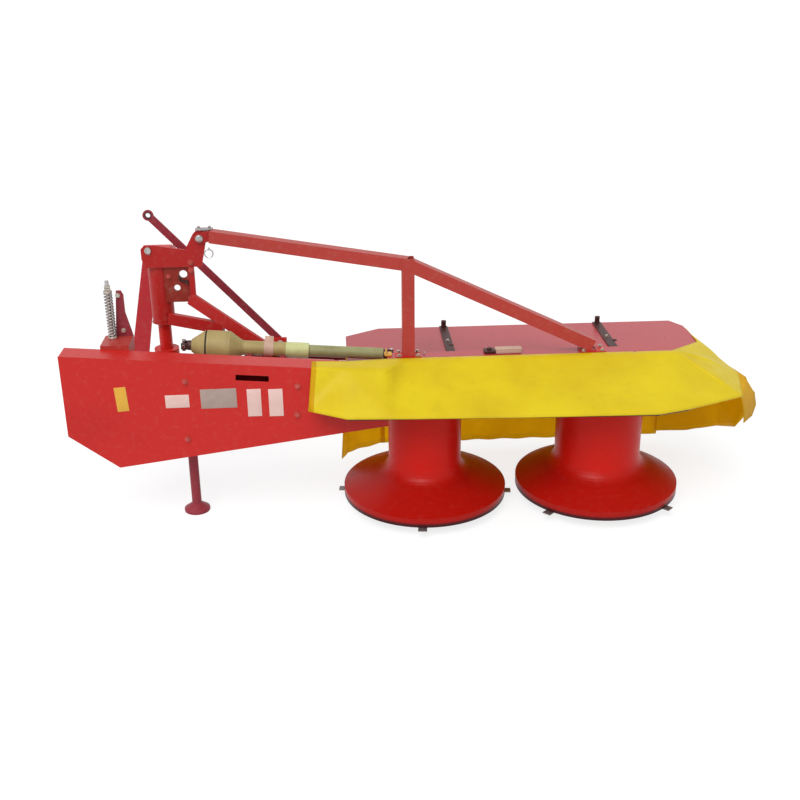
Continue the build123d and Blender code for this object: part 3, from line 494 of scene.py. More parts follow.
# making pieces: sizes are in mm, points come from at, and matrices from upright or aimed
def addPiece(name, bm, finish, body="mower", bend=35.0):
    bmesh.ops.remove_doubles(bm, verts=bm.verts, dist=1e-6)
    bmesh.ops.recalc_face_normals(bm, faces=bm.faces)
    piece = makeObject(name, bm, shades[finish])
    piece.data.shade_smooth()
    piece.data.set_sharp_from_angle(angle=math.radians(bend))
    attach(piece, body)
    return piece


def aimed(place, direction):
    turn = Vector(direction).to_track_quat("Z", "Y").to_matrix().to_4x4()
    return Matrix.Translation(place) @ turn


def upright(x, y, z):
    return Matrix.Translation(at(x, y, z))


def moved(matrix, x, y, z):
    return matrix @ Matrix.Translation((x / 1000, y / 1000, z / 1000))


def spot(matrix, x, y, z):
    return moved(matrix, x, y, z).translation


def tilted(matrix, degrees, axis="Y"):
    return matrix @ Matrix.Rotation(math.radians(degrees), 4, axis)


def softened(bm, verts, offset, segments=2, keep=None):
    edges = {e for v in verts for e in v.link_edges}
    chosen = [e for e in edges if keep is None or keep(e)]
    bmesh.ops.bevel(bm, geom=chosen, offset=offset / 1000, segments=segments, profile=0.5,
                    affect="EDGES", material=-1)


def addRod(bm, start, end, radius, sides=24, farRadius=None, edge=0.0):
    span = end - start
    far = radius if farRadius is None else farRadius
    made = bmesh.ops.create_cone(bm, cap_ends=True, segments=sides, radius1=radius / 1000,
                                 radius2=far / 1000, depth=span.length,
                                 matrix=aimed((start + end) / 2, span))
    if edge:
        along = span.normalized()
        softened(bm, made["verts"], edge, 1,
                 lambda e: abs((e.verts[1].co - e.verts[0].co).normalized().dot(along)) < 0.5)


def addBlock(bm, matrix, size, edge=0.0):
    scale = Matrix.Diagonal((size[0] / 1000, size[1] / 1000, size[2] / 1000, 1))
    made = bmesh.ops.create_cube(bm, size=1.0, matrix=matrix @ scale)
    if edge:
        softened(bm, made["verts"], edge)


def addLathe(bm, profile, matrix, steps=32):
    before = set(bm.verts)
    line = [bm.verts.new((r / 1000, 0, z / 1000)) for r, z in profile]
    edges = [bm.edges.new(pair) for pair in zip(line, line[1:])]
    bmesh.ops.spin(bm, geom=line + edges, cent=(0, 0, 0), axis=(0, 0, 1), angle=2 * math.pi,
                   steps=steps, use_merge=True, use_normal_flip=False, use_duplicate=False)
    fresh = [v for v in bm.verts if v not in before]
    bmesh.ops.transform(bm, matrix=matrix, verts=fresh)


boltShape = {  # shares of the width across the head
    "washer": (0.15, 0.72),  # top and radius
    "head": (0.66, 0.56),
    "thread": (0.78, 0.26),
    "edge": 0.05,
    "sunk": 0.5,  # mm under the face
}


def addBolt(bm, place, direction, width):
    along = Vector(direction).normalized() / 1000
    washer, head, thread = (boltShape[part] for part in ("washer", "head", "thread"))
    tops = [place + along * width * part[0] for part in (washer, head, thread)]
    addRod(bm, place - along * boltShape["sunk"], tops[0], width * washer[1], 20)
    addRod(bm, tops[0], tops[1], width * head[1], 6, edge=width * boltShape["edge"])
    addRod(bm, tops[1], tops[2], width * thread[1], 12)


def addRing(bm, matrix, radius, wire, steps=36, sides=10, turns=1.0, rise=0.0):
    # a wire bent to a ring, or to a coil that rises
    before = set(bm.verts)
    start = tilted(Matrix.Translation((radius / 1000, 0, 0)), 90, "X")
    made = bmesh.ops.create_circle(bm, segments=sides, radius=wire / 1000, matrix=start)
    edges = list({e for v in made["verts"] for e in v.link_edges})
    closed = turns == 1.0 and rise == 0.0
    total = max(3, round(steps * turns))
    bmesh.ops.spin(bm, geom=made["verts"] + edges, cent=(0, 0, 0), axis=(0, 0, 1),
                   angle=2 * math.pi * turns, dvec=(0, 0, rise / 1000 / total), steps=total,
                   use_merge=closed, use_normal_flip=False, use_duplicate=False)
    fresh = {v for v in bm.verts if v not in before}
    if not closed:
        ends = [e for e in bm.edges if e.is_boundary and e.verts[0] in fresh]
        bmesh.ops.holes_fill(bm, edges=ends, sides=sides)
    bmesh.ops.transform(bm, matrix=matrix, verts=list(fresh))


def addFootBead(bm, x, y, z, width, depth, radius=2.6):
    # a weld bead round a tube that stands on a plate
    sides = ((-1, -1), (1, -1), (1, 1), (-1, 1))
    corners = [at(x + sx * width / 2, y + sy * depth / 2, z) for sx, sy in sides]
    for start, end in zip(corners, corners[1:] + corners[:1]):
        addRod(bm, start, end, radius, 8)


# yellow cloth
def onFacets(corners, s, t, falling):
    # a quad's four corners as two triangles that meet on one diagonal
    a, b, c, d = corners  # top left, top right, low right, low left
    if falling:
        return a + (b - a) * s + (c - b) * t if t <= s else a + (d - a) * t + (c - d) * s
    if s + t <= 1:
        return a + (b - a) * s + (d - a) * t
    return c + (d - c) * (1 - s) + (b - c) * (1 - t)


def clothSheet(look, columns):
    # columns of points from the top edge to the hem; rows says how finely each gap is divided
    rows, across = look["rows"], look["across"]
    total = (sum(across), sum(rows))
    bm = bmesh.new()
    bmesh.ops.create_grid(bm, x_segments=total[0], y_segments=total[1], size=1.0)
    grid = {}
    for v in bm.verts:
        i = round((v.co.x + 1) / 2 * total[0])
        j = round((1 - v.co.y) / 2 * total[1])
        grid[i, j] = v
    starts = list(accumulate(across, initial=0))
    downs = list(accumulate(rows, initial=0))
    for c, count in enumerate(across):
        for r, down in enumerate(rows):
            corners = (columns[c][r], columns[c + 1][r], columns[c + 1][r + 1], columns[c][r + 1])
            falling = (c, r) in look.get("folded", ())
            for i in range(count + 1):
                for j in range(down + 1):
                    grid[starts[c] + i, downs[r] + j].co = onFacets(corners, i / count, j / down, falling)
    held = set()
    for (i, j), v in grid.items():
        if i in (0, total[0]) or j in (0, total[1]) or (j in downs and look.get("keepRows")):
            held.add(v)
    loose = [v for v in bm.verts if v not in held]
    for turn in range(look["rounding"]):
        bmesh.ops.smooth_vert(bm, verts=loose, factor=0.5,
                              use_axis_x=True, use_axis_y=True, use_axis_z=True)
    return bm, grid, total


fall = {
    "thickness": 0.002,
    "endRun": 8.0,  # slack and folds reach full size an eighth of the way in
    "liftRun": 3.5,
    "openUp": 1.5,  # power by which folds open towards the hem
    "sway": 1.3,  # how unevenly the folds stand
    "swayCount": 7.1,
}


def drape(bm, grid, total, look):
    # slack between the held edges, and folds that open towards the hem
    bm.normal_update()
    phase = random.Random(look["seed"]).uniform(0, 6.28)
    low, high = look.get("between", (0.0, 1.0))
    moves = {}
    for (i, j), v in grid.items():
        s = i / total[0]
        t = j / total[1]
        rest = math.sin(math.pi * (t - low) / (high - low)) if low < t < high else 0.0
        ends = min(1.0, fall["endRun"] * s, fall["endRun"] * (1 - s))
        slack = -look["slack"] * rest * ends
        if "lift" in look:
            most, start, end = look["lift"]
            share = min(1.0, max(0.0, (s - start) / (end - start))) * min(1.0, fall["liftRun"] * (1 - s))
            slack += (most + look["slack"]) * rest * share
        place = v.co * look["grain"]
        crumple = noise.noise(place + Vector((look["seed"], 0, 0))) * look["crumple"] * rest * ends
        sway = fall["sway"] * math.sin(fall["swayCount"] * s + phase)
        wave = math.sin(2 * math.pi * s * look["foldCount"] + phase + sway)
        moves[v] = v.normal * (slack + crumple + look["folds"] * t ** fall["openUp"] * ends * wave)
    for v, move in moves.items():
        v.co += move


def clothUv(bm, grid, total):
    # the flat cut in metres: across from the first edge, up from the hem
    layer = bm.loops.layers.uv.new("flat")
    across, down = {}, {}
    for j in range(total[1] + 1):
        across[0, j] = 0.0
        for i in range(1, total[0] + 1):
            across[i, j] = across[i - 1, j] + (grid[i, j].co - grid[i - 1, j].co).length
    for i in range(total[0] + 1):
        down[i, total[1]] = 0.0
        for j in reversed(range(total[1])):
            down[i, j] = down[i, j + 1] + (grid[i, j].co - grid[i, j + 1].co).length
    places = {v: key for key, v in grid.items()}
    for face in bm.faces:
        for loop in face.loops:
            key = places[loop.vert]
            loop[layer].uv = (across[key], down[key])


def hangCloth(name, bm, look, node):
    bmesh.ops.recalc_face_normals(bm, faces=bm.faces)
    measured = sum(f.calc_area() for f in bm.faces)
    piece = makeObject(name, bm, *(shades[finish] for finish in look["finishes"]))
    piece.data.shade_smooth()
    wall = piece.modifiers.new("thickness", "SOLIDIFY")
    wall.thickness = fall["thickness"]
    wall.offset = 0.0
    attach(piece, "mower")
    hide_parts(node)
    print(name, "area", round(measured, 4))


def makeSheet(name, look, columns, node):
    bm, grid, total = clothSheet(look, columns)
    drape(bm, grid, total, look)
    clothUv(bm, grid, total)
    hangCloth(name, bm, look, node)


# over the beam and the cover, and round the end
nearSheet = {
    "finishes": ["yellowCloth", "endClothShadedCopy"],  # the second, the orange copy painted for shade and back light, on the turned left edge
    "rows": (3, 2, 24, 6),  # to the ridge, over the edge, down the face, the rolled hem
    "across": (7, 9, 4, 20, 22, 2, 2, 8, 12, 10, 10, 5, 7),
    "rounding": 3,  # passes of smoothing
    "keepRows": True,  # the lines between the rows stay sharp
    "folded": ((1, 2), (8, 2), (9, 2), (10, 2)),  # facets that fall the other way: gap across, gap down
    "between": (0.17, 0.88),  # where it sags, as shares of the drop
    "slack": 0.006,  # metres inwards
    "lift": (0.025, 0.70, 0.82),  # fuller round the end: how much, from and to where across
    "crumple": 0.005,
    "grain": 5.0,  # how fine the crumples are
    "folds": 0.0,  # metres in and out at the hem
    "foldCount": 0.0,
    "seed": 3,
    "roll": ((2.6, -2.4), (3.4, -6.2), (2.2, -9.4), (-1.2, -10.8), (-7.0, -8.4), (-13.0, -5.0)),  # mm
    "flat": (2.75, 0.50),
    "area": 1.04,  # the cut tapers round the end
    "held": "stretched",
    "restsOn": ["transmission_beam", "belt_cover", "curtain_frame", "roof_plate"],
    # back edge, ridge, edge of the beam or cover, hem
    "stations": (
        ((-556, -110, 785), (-556, -150, 785), (-556, -194, 784), (-575, -262, 610)),
        ((-400, -90, 773), (-400, -140, 773), (-400, -194, 771), (-400, -372, 611)),
        ((-205, -64, 769), (-205, -120, 764), (-205, -193, 756), (-205, -385, 611)),
        ((-120, -34, 758), (-120, -50, 758), (-120, -65, 757), (-120, -388.2, 610)),
        ((400, -34, 758), (400, -50, 758), (400, -65, 757), (400, -407.5, 608)),
        ((960, -34, 758), (960, -50, 758), (960, -65, 757), (950, -428.4, 611)),
        ((975, -33, 757.5), (975, -50, 758), (975, -65, 757), (975, -429.2, 611)),
        ((979, 70, 704), (984, -35, 757.5), (987, -65, 757), (1000, -430, 612)),
        ((1152, 75, 704), (1158, -35, 757.5), (1160, -65, 757), (1150, -385, 613)),
        ((1185, 98, 704), (1172, -34, 757), (1175, -58, 756), (1440, -235, 602)),
        ((1230, 130, 704), (1186, -24, 755), (1190, -40, 754), (1516, 40, 603)),
        ((1364, 224, 704), (1371, 204, 703), (1377, 188, 702), (1500, 190, 604)),
        ((1366, 290, 703.5), (1370, 290, 703), (1374, 290, 702), (1486, 330, 605)),
        ((1366, 330, 702.5), (1369, 334, 702), (1372, 338, 701), (1413, 463, 605)),
    ),
}
columns = [[at(*place) for place in (*station, station[-1])] for station in nearSheet["stations"]]
bm, grid, total = clothSheet(nearSheet, columns)
flatRows = sum(nearSheet["rows"][:3])
drape(bm, {key: v for key, v in grid.items() if key[1] <= flatRows}, (total[0], flatRows), nearSheet)
hemLine = [grid[i, flatRows].co.copy() for i in range(total[0] + 1)]
for i, place in enumerate(hemLine):
    ahead = hemLine[min(i + 1, total[0])] - hemLine[max(i - 1, 0)]
    out = Vector((ahead.y, -ahead.x, 0)).normalized() / 1000
    for j, (reach, drop) in enumerate(nearSheet["roll"], 1):
        grid[i, flatRows + j].co = place + out * reach + Vector((0, 0, drop / 1000))
clothUv(bm, grid, total)
leftEdge = {grid[0, j] for j in range(total[1] + 1)}
for face in bm.faces:
    face.material_index = 1 if leftEdge & set(face.verts) else 0
hangCloth("nearCurtain", bm, nearSheet, "rear_curtain")

# round the end, from under the frame's tube up to the roof's far corner
endSheet = {
    # the end cloth is the yellow cloth painted orange for shade and back light
    "finishes": ["endClothShadedCopy"],
    "rows": (3, 6, 12),
    "across": (6, 6, 9, 16, 7, 8, 10),
    "rounding": 4,
    "keepRows": True,
    "folded": ((0, 0), (0, 1), (0, 2), (1, 0), (1, 1), (1, 2)),
    "slack": 0.0,
    "crumple": 0.005,
    "grain": 6.0,
    "folds": 0.003,
    "foldCount": 5.0,
    "seed": 8,
    "flat": (0.90, 0.64),
    "area": 0.385,  # the cut falls away towards the near corner
    "held": "hung",
    "restsOn": ["curtain_frame"],
    # held edge, bulging, fullest, lower edge
    "stations": (
        ((1430, -219, 593), (1449, -214, 576), (1488, -165, 490), (1520, -100, 395)),
        ((1448, -152, 593), (1486, -140, 578), (1548, -85, 500), (1588, -32, 402)),
        ((1467, -85, 593), (1522, -60, 580), (1598, 0, 512), (1624, 32, 446)),
        ((1502, 41, 593), (1557, 28, 584), (1590, 48, 500), (1538, 42, 312)),
        ((1472.5, 326, 593), (1508, 325, 575), (1538, 330, 400), (1555, 330, 190)),
        ((1374, 352, 698), (1464, 404, 574), (1489, 406, 375), (1501, 406, 147)),
        ((1373, 446, 699), (1426, 474, 573), (1434, 476, 350), (1445, 475, 105)),
        ((1284, 584, 697), (1286, 586, 574), (1288, 582, 330), (1290, 576, 60)),
    ),
}
columns = [[at(*place) for place in station] for station in endSheet["stations"]]
makeSheet("endCurtain", endSheet, columns, "end_curtain")

# along the roof's far edge
frontSheet = {
    # the inner cloth is the yellow cloth painted orange for shade and back light
    "finishes": ["innerClothShadedCopy"],
    "rows": (18,),
    "across": (76,),
    "rounding": 0,
    "slack": 0.0,
    "crumple": 0.006,
    "grain": 4.0,
    "folds": 0.006,
    "foldCount": 9.0,
    "seed": 5,
    "flat": (1.522, 0.648),
    "held": "hung",
    "restsOn": ["roof_plate"],
    "ends": (-220, 1302),
    "y": 561.5,
    "heights": (696.5, 49),
}
columns = [[at(x, frontSheet["y"], z) for z in frontSheet["heights"]] for x in frontSheet["ends"]]
makeSheet("frontCurtain", frontSheet, columns, "front_curtain")

# round the roof's far left corner
leftSheet = {
    # the inner cloth is the yellow cloth painted orange for shade and back light
    "finishes": ["innerClothShadedCopy"],
    "rows": (18,),
    "across": (2, 12, 5),
    "rounding": 1,
    "slack": 0.0,
    "crumple": 0.005,
    "grain": 5.0,
    "folds": 0.006,
    "foldCount": 1.5,
    "seed": 12,
    "flat": (0.33, 0.648),
    "held": "hung",
    "restsOn": ["roof_plate"],
    "heights": (696.5, 51),
    "tops": ((-196, 556.5), (-224, 556.5), (-389, 451), (-389, 371)),
    "lows": ((-196, 556.5), (-224, 556.5), (-402, 451), (-431, 371)),
}
high, low = leftSheet["heights"]
columns = [[at(*top, high), at(*hem, low)] for top, hem in zip(leftSheet["tops"], leftSheet["lows"])]
makeSheet("leftCurtain", leftSheet, columns, "left_curtain")
print("cloth hung")

# relief spring on its rod
spring = {
    "x": -1478, "y": 40, "low": 872, "top": 1104,
    "coil": 16.6, "wire": 4.1, "turns": 15,
    "inset": 9,  # from each end to the coil
    "cup": 20.5, "cupHeight": 9, "rod": 8.9,
    "nuts": (1105, 1117), "nut": 15, "nutHeight": 10.5,
}
foot = (spring["x"], spring["y"])
rise = spring["top"] - spring["low"] - 2 * spring["inset"]
bm = bmesh.new()
addRing(bm, upright(*foot, spring["low"] + spring["inset"]), spring["coil"], spring["wire"], 24, 8,
        spring["turns"], rise)
coil = addPiece("reliefSpring", bm, "springZinc", "mower", 60)
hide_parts("relief_spring")
bm = bmesh.new()
rim, height = spring["cup"], spring["cupHeight"]
for z in (spring["low"] + 0.5, spring["top"] - height - 0.5):
    profile = [(0, 0), (rim - 1, 0), (rim, 1.5), (rim, height - 1.5), (rim - 1, height), (0, height)]
    addLathe(bm, profile, upright(*foot, z))
addRod(bm, at(*foot, spring["low"]), at(*foot, spring["top"]), spring["rod"], 20)
for z in spring["nuts"]:
    addRod(bm, at(*foot, z), at(*foot, z + spring["nutHeight"]), spring["nut"], 6, edge=1.2)
addPiece("springCups", bm, "boltZinc")

# drive shaft: joints, seal, ribs and bands; single numbers and pairs run along it from the left joint
shaft = {
    "start": (-1175, 100, 809), "end": (-165, 100, 730),
    "seal": 119, "sealRadius": 70.5,
    "ribs": (131, 137, 217, 223), "ribRadius": 75.6,
    "neck": 291, "tubeRadius": 35.1,
    "band": (494, 603), "bandRadius": 37,
    "strap": (391, 437), "strapRadius": 37.4,
    "tail": {"across": (20, 40), "size": (3, 34), "turn": -28},
    "buckle": {"across": (31, 12), "size": (12, 20)},
}
joint = {
    "hub": ((0, 27), (12, 27), (20, 30), (24, 35), (24, 48.5), (22, 50), (0, 50)),  # radius, from the mouth
    "ear": (7, 32, 34), "earPlace": (20.5, 0, 18),
    "level": 13, "arm": 27.5, "armRadii": (8.5, 7),
    "cap": (18, 28), "capRadius": 10, "nipple": 2.6,
}
shaftStart, shaftEnd = at(*shaft["start"]), at(*shaft["end"])
shaftLine = aimed(shaftStart, shaftEnd - shaftStart)
backLine = aimed(shaftEnd, shaftStart - shaftEnd)


def addYoke(bm, line):
    addLathe(bm, joint["hub"], line, 28)
    x, y, z = joint["earPlace"]
    for side in (-1, 1):
        addBlock(bm, moved(line, side * x, y, z), joint["ear"], 2.5)


def addCross(bm, line):
    arm, level = joint["arm"], joint["level"]
    thick, thin = joint["armRadii"]
    addRod(bm, spot(line, -arm, 0, level), spot(line, arm, 0, level), thick, 18, edge=1)
    addRod(bm, spot(line, 0, -arm, level), spot(line, 0, arm, level), thin, 18, edge=1)
    for side in (-1, 1):
        low, high = (spot(line, 0, side * away, level) for away in joint["cap"])
        addRod(bm, low, high, joint["capRadius"], 20, edge=1.2)
    addRod(bm, spot(line, 0, 0, level - 1), spot(line, 6, 6, 1), joint["nipple"], 8)


def addSleeve(bm, low, high, radius):
    tube = shaft["tubeRadius"]
    addLathe(bm, [(tube, low), (radius, low + 0.8), (radius, high - 0.8), (tube, high)], shaftLine, 40)


for name, line, body, node in (("left", shaftLine, "mower", "pto_left_yoke"),
                               ("right", backLine, "pto_inner", "pto_right_yoke")):
    bm = bmesh.new()
    addYoke(bm, line)
    yoke = addPiece(name + "Yoke", bm, "yokeIron", body)
    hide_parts(node)
    bm = bmesh.new()
    addCross(bm, line)
    addPiece(name + "Cross", bm, "bareSteel", body)

bm = bmesh.new()
addRing(bm, moved(shaftLine, 0, 0, shaft["seal"]), shaft["sealRadius"], 3.7, 56, 12)
addPiece("bellSeal", bm, "blackRubber", "mower")
bm = bmesh.new()
for along in shaft["ribs"]:
    addRing(bm, moved(shaftLine, 0, 0, along), shaft["ribRadius"], 1.4, 56, 8)
addRing(bm, moved(shaftLine, 0, 0, shaft["neck"]), shaft["tubeRadius"] + 0.1, 2.6, 40, 8)
addPiece("bellRibs", bm, "guardOlive", "mower")
low, high = shaft["band"]
bm = bmesh.new()
addSleeve(bm, low, high, shaft["bandRadius"])
for along in (low + 8, high - 8):
    addRing(bm, moved(shaftLine, 0, 0, along), shaft["bandRadius"], 1.0, 40, 6)
addPiece("tubeBand", bm, "guardBright", "mower")
low, high = shaft["strap"]
middle = (low + high) / 2
bm = bmesh.new()
addSleeve(bm, low, high, shaft["strapRadius"])
tail, buckle = shaft["tail"], shaft["buckle"]
addBlock(bm, tilted(moved(shaftLine, *tail["across"], middle), tail["turn"], "Z"),
         (*tail["size"], high - low - 4), 1.2)
addBlock(bm, moved(shaftLine, *buckle["across"], middle), (*buckle["size"], high - low + 4), 2)
addPiece("restStrap", bm, "strapBeige", "mower")

# rail along the case behind the shaft, dark red: painted shade filling the gap under the shaft
shadeRail = {
    "back": 43, "below": -48, "from": 296, "to": 785, "section": (4, 20),
    "lugs": (350, 466, 740), "lug": (6, 24, 22), "lugDrop": 18,
}
bm = bmesh.new()
addBlock(bm, moved(shaftLine, shadeRail["back"], shadeRail["below"], (shadeRail["from"] + shadeRail["to"]) / 2),
         (*shadeRail["section"], shadeRail["to"] - shadeRail["from"]), 1)
for along in shadeRail["lugs"]:
    lugPlace = moved(shaftLine, shadeRail["back"] + 1, shadeRail["below"] - shadeRail["lugDrop"], along)
    addBlock(bm, lugPlace, shadeRail["lug"], 1.5)
addPiece("shaftShadeRail", bm, "deepShadedRed", "mower")

# blank plates on the belt cover: x and z, width and height
plates = {
    "yellowPlate": {"finish": "plateYellow", "place": (-1421.8, 656.5), "size": (53, 118), "tilt": 3.6},
    "whitePlate": {"finish": "plateWhite", "place": (-1172, 638.5), "size": (108, 63), "tilt": 0.5},
    "greyPlate": {"finish": "plateGrey", "place": (-984, 646.5), "size": (164, 95), "tilt": 0.5},
    "leftTally": {"finish": "plateWhite", "place": (-823, 620.5), "size": (64, 135), "tilt": 0.3},
    "rightTally": {"finish": "plateWhite", "place": (-724.5, 617.5), "size": (65, 135), "tilt": 0.3},
}
plateStock = {"y": -189.6, "thickness": 1.6}
for name, plate in plates.items():
    x, z = plate["place"]
    width, height = plate["size"]
    bm = bmesh.new()
    addBlock(bm, tilted(upright(x, plateStock["y"], z), -plate["tilt"]),
             (width, plateStock["thickness"], height), 0.6)
    addPiece(name, bm, plate["finish"])

# bolts, each group facing one way on the mower
up, near, far, left, right = (0, 0, 1), (0, -1, 0), (0, 1, 0), (-1, 0, 0), (1, 0, 0)
bolts = {
    "coverBolts": {"finish": "redBolt", "width": 19, "way": near, "places": (
        (-1130, -189, 735), (-1140, -189, 451), (-623, -189, 697), (-630, -189, 555))},
    "caseBackBolts": {"finish": "boltZinc", "width": 14, "way": far, "places": (
        (-1640, -66, 530), (-1640, -66, 800), (-1463, -66, 350), (-900, -66, 460), (-560, -66, 500),
        (-250, -66, 520), (-420, -66, 700), (-900, -66, 770), (-1240, -66, 780))},
    "bearingBolts": {"finish": "boltZinc", "width": 15, "way": far, "places": (
        (-1117, -66, 600), (-993, -66, 600), (-1055, -66, 662), (-1055, -66, 538))},
    "beamBolts": {"finish": "boltZinc", "width": 15, "way": up, "places": (
        (-146, -18, 762), (-146, 38, 762), (-56, -18, 762), (-56, 38, 762),
        (733, -18, 762), (733, 38, 762), (823, -18, 762), (823, 38, 762))},
    "strapBolts": {"finish": "boltZinc", "width": 13, "way": up, "places": (
        (120, 330, 708), (930, 330, 708))},
    "headBolts": {"finish": "redBolt", "width": 20, "way": near, "places": (
        (-1128, 318, 1150), (-1128, 318, 1112))},
    "latchBolts": {"finish": "redBolt", "width": 16, "way": near, "places": (
        (-1240, 330, 1080), (-1145, 330, 968))},
    "leverBolts": {"finish": "boltZinc", "width": 16, "way": near, "places": (
        (-1430, 67, 900), (-1440, 67, 1072))},
}
for name, group in bolts.items():
    bm = bmesh.new()
    for place in group["places"]:
        addBolt(bm, at(*place), group["way"], group["width"])
    addPiece(name, bm, group["finish"])

# small fittings, made of:
# blocks: place, size, soft edge, tilt       rods: start, end, radius, sides, soft edge
# rings: place, axis, radius, wire, steps, sides       turned: place, axis, profile, steps
# bolts: place, axis, width       beads: the foot's middle, its width and depth
# an axis of None leaves it upright
fittings = {
    "headPins": {
        "finish": "bareSteel",
        "turned": (
            ((-1326, 318.5, 1213), near, ((0, 0), (17, 0), (17, 6), (15, 9), (9, 9), (8, 6), (0, 6)), 28),
            ((-1076, 301, 1270), near, ((0, 0), (15, 0), (16, 1.5), (16, 6), (13, 8), (0, 8)), 28)),
        "rings": (((-1037, 312, 1193), (0, -1, 0.15), 20, 3.2, 32, 8),),
        "rods": (((-1037, 306, 1214), (-1037, 332, 1214), 5, 14, 0.8),)},
    "forkBracket": {
        "finish": "springZinc",
        "blocks": (((-1052, 324, 1311), (84, 30, 9), 2.2, 0),),
        "bolts": (((-1078, 324, 1315.5), up, 13), ((-1026, 324, 1315.5), up, 13))},
    "latchHook": {
        "finish": "darkPaint", "slot": "dark_paint",
        "blocks": (
            ((-1168, 324, 1057), (44, 9, 13), 2.5, 20), ((-1187, 324, 1071), (11, 9, 26), 2.5, -12)),
        "rods": (((-1154, 331, 1052), (-1154, 312, 1052), 8, 18, 1),)},
    "beamBox": {
        "finish": "strapBeige", "slot": "dark_paint",
        "blocks": (((378, 21, 763), (122, 40, 21), 3, 0), ((378, 21, 774.5), (126, 44, 3), 1.2, 0))},
    "beamCap": {
        "finish": "darkPaint", "slot": "dark_paint",
        "blocks": (((288, 31, 759), (52, 52, 13), 2.5, 0),),
        "rods": (((288, 31, 765), (288, 31, 776), 11, 20, 1.5),)},
    "shaftCradle": {
        "finish": "plateYellow", "slot": "red_paint",
        "blocks": (((-196, 34, 757), (36, 44, 9), 2, 0), ((-205, 34, 768), (6, 40, 22), 1.5, 0))},
    "weldBeads": {
        "finish": "columnShadedRed", "slot": "red_paint",
        "beads": ((-101, 10, 763, 58, 58), (760, 10, 763, 66, 58), (-1128, 324, 984, 26, 13)),
        "rings": (
            ((-1290, 385, 836.5), None, 55.5, 3.0, 40, 6), ((-1290, 385, 1139), None, 55.5, 2.6, 40, 6),
            ((-1055, -64.5, 600), far, 52.5, 2.8, 40, 6))},
    "hitchBeads": {
        "finish": "redPaint", "body": "hitch", "slot": "red_paint",
        "rings": (
            ((-1290, 385, 1144.5), None, 33, 2.6, 32, 6), ((-1527, 620, 500), left, 15.5, 2.6, 28, 6),
            ((-700, 620, 500), right, 15.5, 2.6, 28, 6))},
    "stayBolts": {
        "finish": "boltZinc", "body": "hitch",
        "rods": (
            ((-735, 602, 628), (-735, 598, 628), 15, 20, 0.8),
            ((-735, 650, 628), (-735, 645, 628), 2.4, 10, 0)),
        "rings": (((-735, 644.5, 628), far, 8.6, 1.4, 24, 6),)},
    "stayBush": {
        "finish": "skidSteel", "body": "hitch",
        "turned": (((-1362, 626, 1312), far, (
            (12.2, 0), (17, 0), (17.5, 0.8), (17.5, 15.2), (17, 16), (12.2, 16), (12.2, 0)), 28),)},
    "standPin": {
        "finish": "boltZinc",
        "rods": (
            ((-1117, -36.7, 560), (-1098, -36.7, 560), 7, 18, 0.8),
            ((-1175, -36.7, 560), (-1190, -36.7, 560), 7, 18, 0.8)),
        "rings": (((-1101, -36.7, 548), right, 16, 2.1, 32, 8),)},
    "standCap": {
        "finish": "deepShadedRed", "body": "stand", "slot": "red_paint",
        "turned": (((-1146, -36.7, 700), None, (
            (0, -1), (22.5, -1), (24, 1), (24, 4), (21, 6.5), (0, 7)), 28),),
        "rings": (((-1146, -36.7, 700), far, 17, 4, 28, 8),)},
    "inspectionPlate": {
        "finish": "columnShadedRed", "slot": "red_paint",
        "blocks": (((-640, -64.5, 610), (190, 3, 110), 1, 0),),
        "bolts": tuple(((x, -63, z), far, 12) for x in (-720, -560) for z in (572, 648))},
}


def placed(place, way):
    return upright(*place) if way is None else aimed(at(*place), way)


for name, look in fittings.items():
    bm = bmesh.new()
    for place, size, edge, tilt in look.get("blocks", ()):
        addBlock(bm, tilted(upright(*place), tilt), size, edge)
    for foot in look.get("beads", ()):
        addFootBead(bm, *foot)
    for place, way, profile, steps in look.get("turned", ()):
        addLathe(bm, profile, placed(place, way), steps)
    for place, way, radius, wire, steps, sides in look.get("rings", ()):
        addRing(bm, placed(place, way), radius, wire, steps, sides)
    for start, end, radius, sides, edge in look.get("rods", ()):
        addRod(bm, at(*start), at(*end), radius, sides, edge=edge)
    for place, way, width in look.get("bolts", ()):
        addBolt(bm, at(*place), way, width)
    addPiece(name, bm, look["finish"], look.get("body", "mower"))

# turned pieces that stand at several places, each with its axis
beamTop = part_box("transmission_beam")[1].z * 1000
turnings = {
    "curtainRivets": {
        "finish": "plateYellow", "slot": "bare_steel", "steps": 16,
        "profile": ((0, 0), (8, 0), (7.7, 1.4), (5, 2.6), (0, 3.2)),
        "places": [((x, -48, beamTop + 5.2), None) for x in range(-90, 900, 123)]},
    "knobCaps": {
        "finish": "darkPaint", "slot": "dark_paint", "steps": 24,
        "profile": ((0, 0), (13, 0), (13.2, 2), (10, 4.5), (5, 6), (0, 6.2)),
        "places": [((x, y, 741), None) for x in (120, 930) for y in (176, 541)]},
    "greaseNipples": {
        "finish": "boltZinc", "slot": "bare_steel", "steps": 12,
        "profile": ((0, -1), (5, -1), (5, 4), (3, 5), (3, 8), (4, 9.5), (3, 12), (0, 12.6)),
        "places": [((-1290, 328, 646), (0, -1, 0.4)), ((-1003, -20, 640), (0.6, 0, 1)),
                   ((-24, 30, 752), up), ((832, 50, 752), up)]},
}
for name, look in turnings.items():
    bm = bmesh.new()
    for place, way in look["places"]:
        addLathe(bm, look["profile"], placed(place, way), look["steps"])
    addPiece(name, bm, look["finish"])

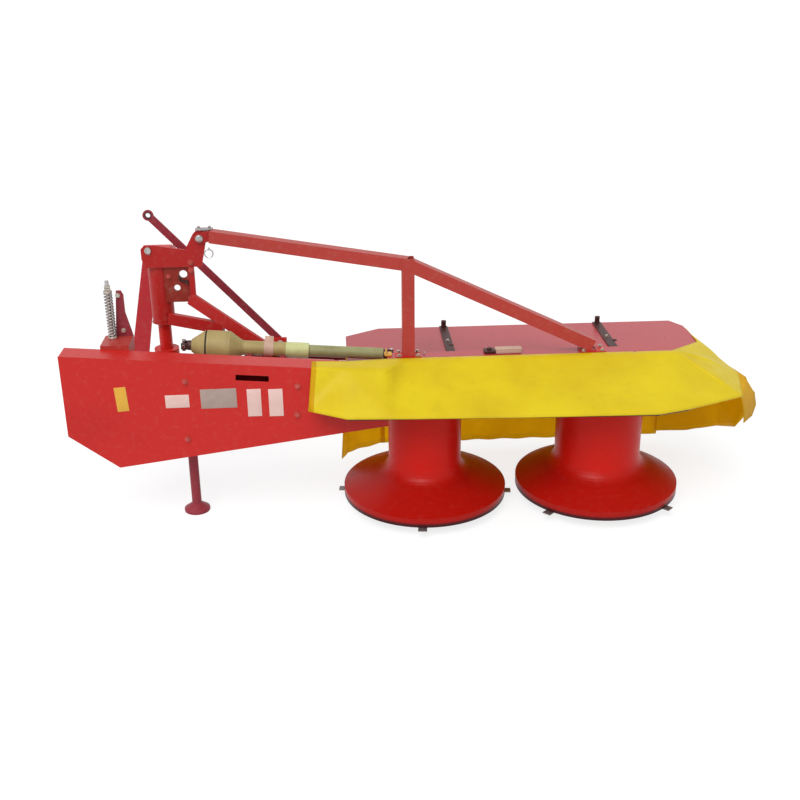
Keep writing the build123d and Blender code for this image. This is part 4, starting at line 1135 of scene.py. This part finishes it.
# splined input shaft
drive = {
    "place": (-1055, 4, 600),
    "profile": ((0, 0), (17.4, 0), (17.4, 12), (15.4, 14), (15.4, 77.5), (13.5, 80), (0, 80)),
    "splines": 21, "spline": (3, 2.4), "splineAt": 15.9, "runs": ((28, 28), (63.5, 27)),  # middle, length
}
line = aimed(at(*drive["place"]), far)
bm = bmesh.new()
addLathe(bm, drive["profile"], line, 32)
for index in range(drive["splines"]):
    turn = tilted(line, 360 * index / drive["splines"], "Z")
    for middle, length in drive["runs"]:
        addBlock(bm, moved(turn, drive["splineAt"], 0, middle), (*drive["spline"], length), 0.3)
splined = addPiece("splinedShaft", bm, "bareSteel")
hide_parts("input_shaft")

# linchpins at the hitch pins' ends, with a washer inside each
linchpin = {
    "ends": ((-1590, -1), (-637, 1)), "y": 620, "z": 500,
    "shank": (478, 526), "radii": (4.6, 5.4), "head": (524, 533), "headRadius": 8,
    "ring": 19, "wire": 2.1, "washer": (34, 30), "washerRadius": 20,
}
bm = bmesh.new()
for x, side in linchpin["ends"]:
    y = linchpin["y"]
    (low, high), (thin, thick) = linchpin["shank"], linchpin["radii"]
    addRod(bm, at(x, y, low), at(x, y, high), thin, 16, farRadius=thick, edge=0.6)
    low, high = linchpin["head"]
    addRod(bm, at(x, y, low), at(x, y, high), linchpin["headRadius"], 16, edge=1)
    ringPlace = at(x + side * 3, y + 17, linchpin["z"] + 20)
    addRing(bm, aimed(ringPlace, (side, 0.2, 0)), linchpin["ring"], linchpin["wire"], 32, 8)
    inner, outer = (at(x - side * away, y, linchpin["z"]) for away in linchpin["washer"])
    addRod(bm, inner, outer, linchpin["washerRadius"], 24)
addPiece("linchpins", bm, "boltZinc", "hitch")

# knives' bolts under each ring: the drum's axis and the first bolt's angle
knifeBolts = {
    "drums": {"drum_inner": (-24, -6.0), "drum_outer": (832, 45.0)},
    "count": 4, "radius": 352, "z": 36.2, "width": 17,
}
for body, (axisX, phase) in knifeBolts["drums"].items():
    bm = bmesh.new()
    for index in range(knifeBolts["count"]):
        angle = math.radians(phase + 360 * index / knifeBolts["count"])
        x = axisX + knifeBolts["radius"] * math.cos(angle)
        y = knifeBolts["radius"] * math.sin(angle)
        addBolt(bm, at(x, y, knifeBolts["z"]), (0, 0, -1), knifeBolts["width"])
    addPiece(body + ".bolts", bm, "bareSteel", body)
print("details made")
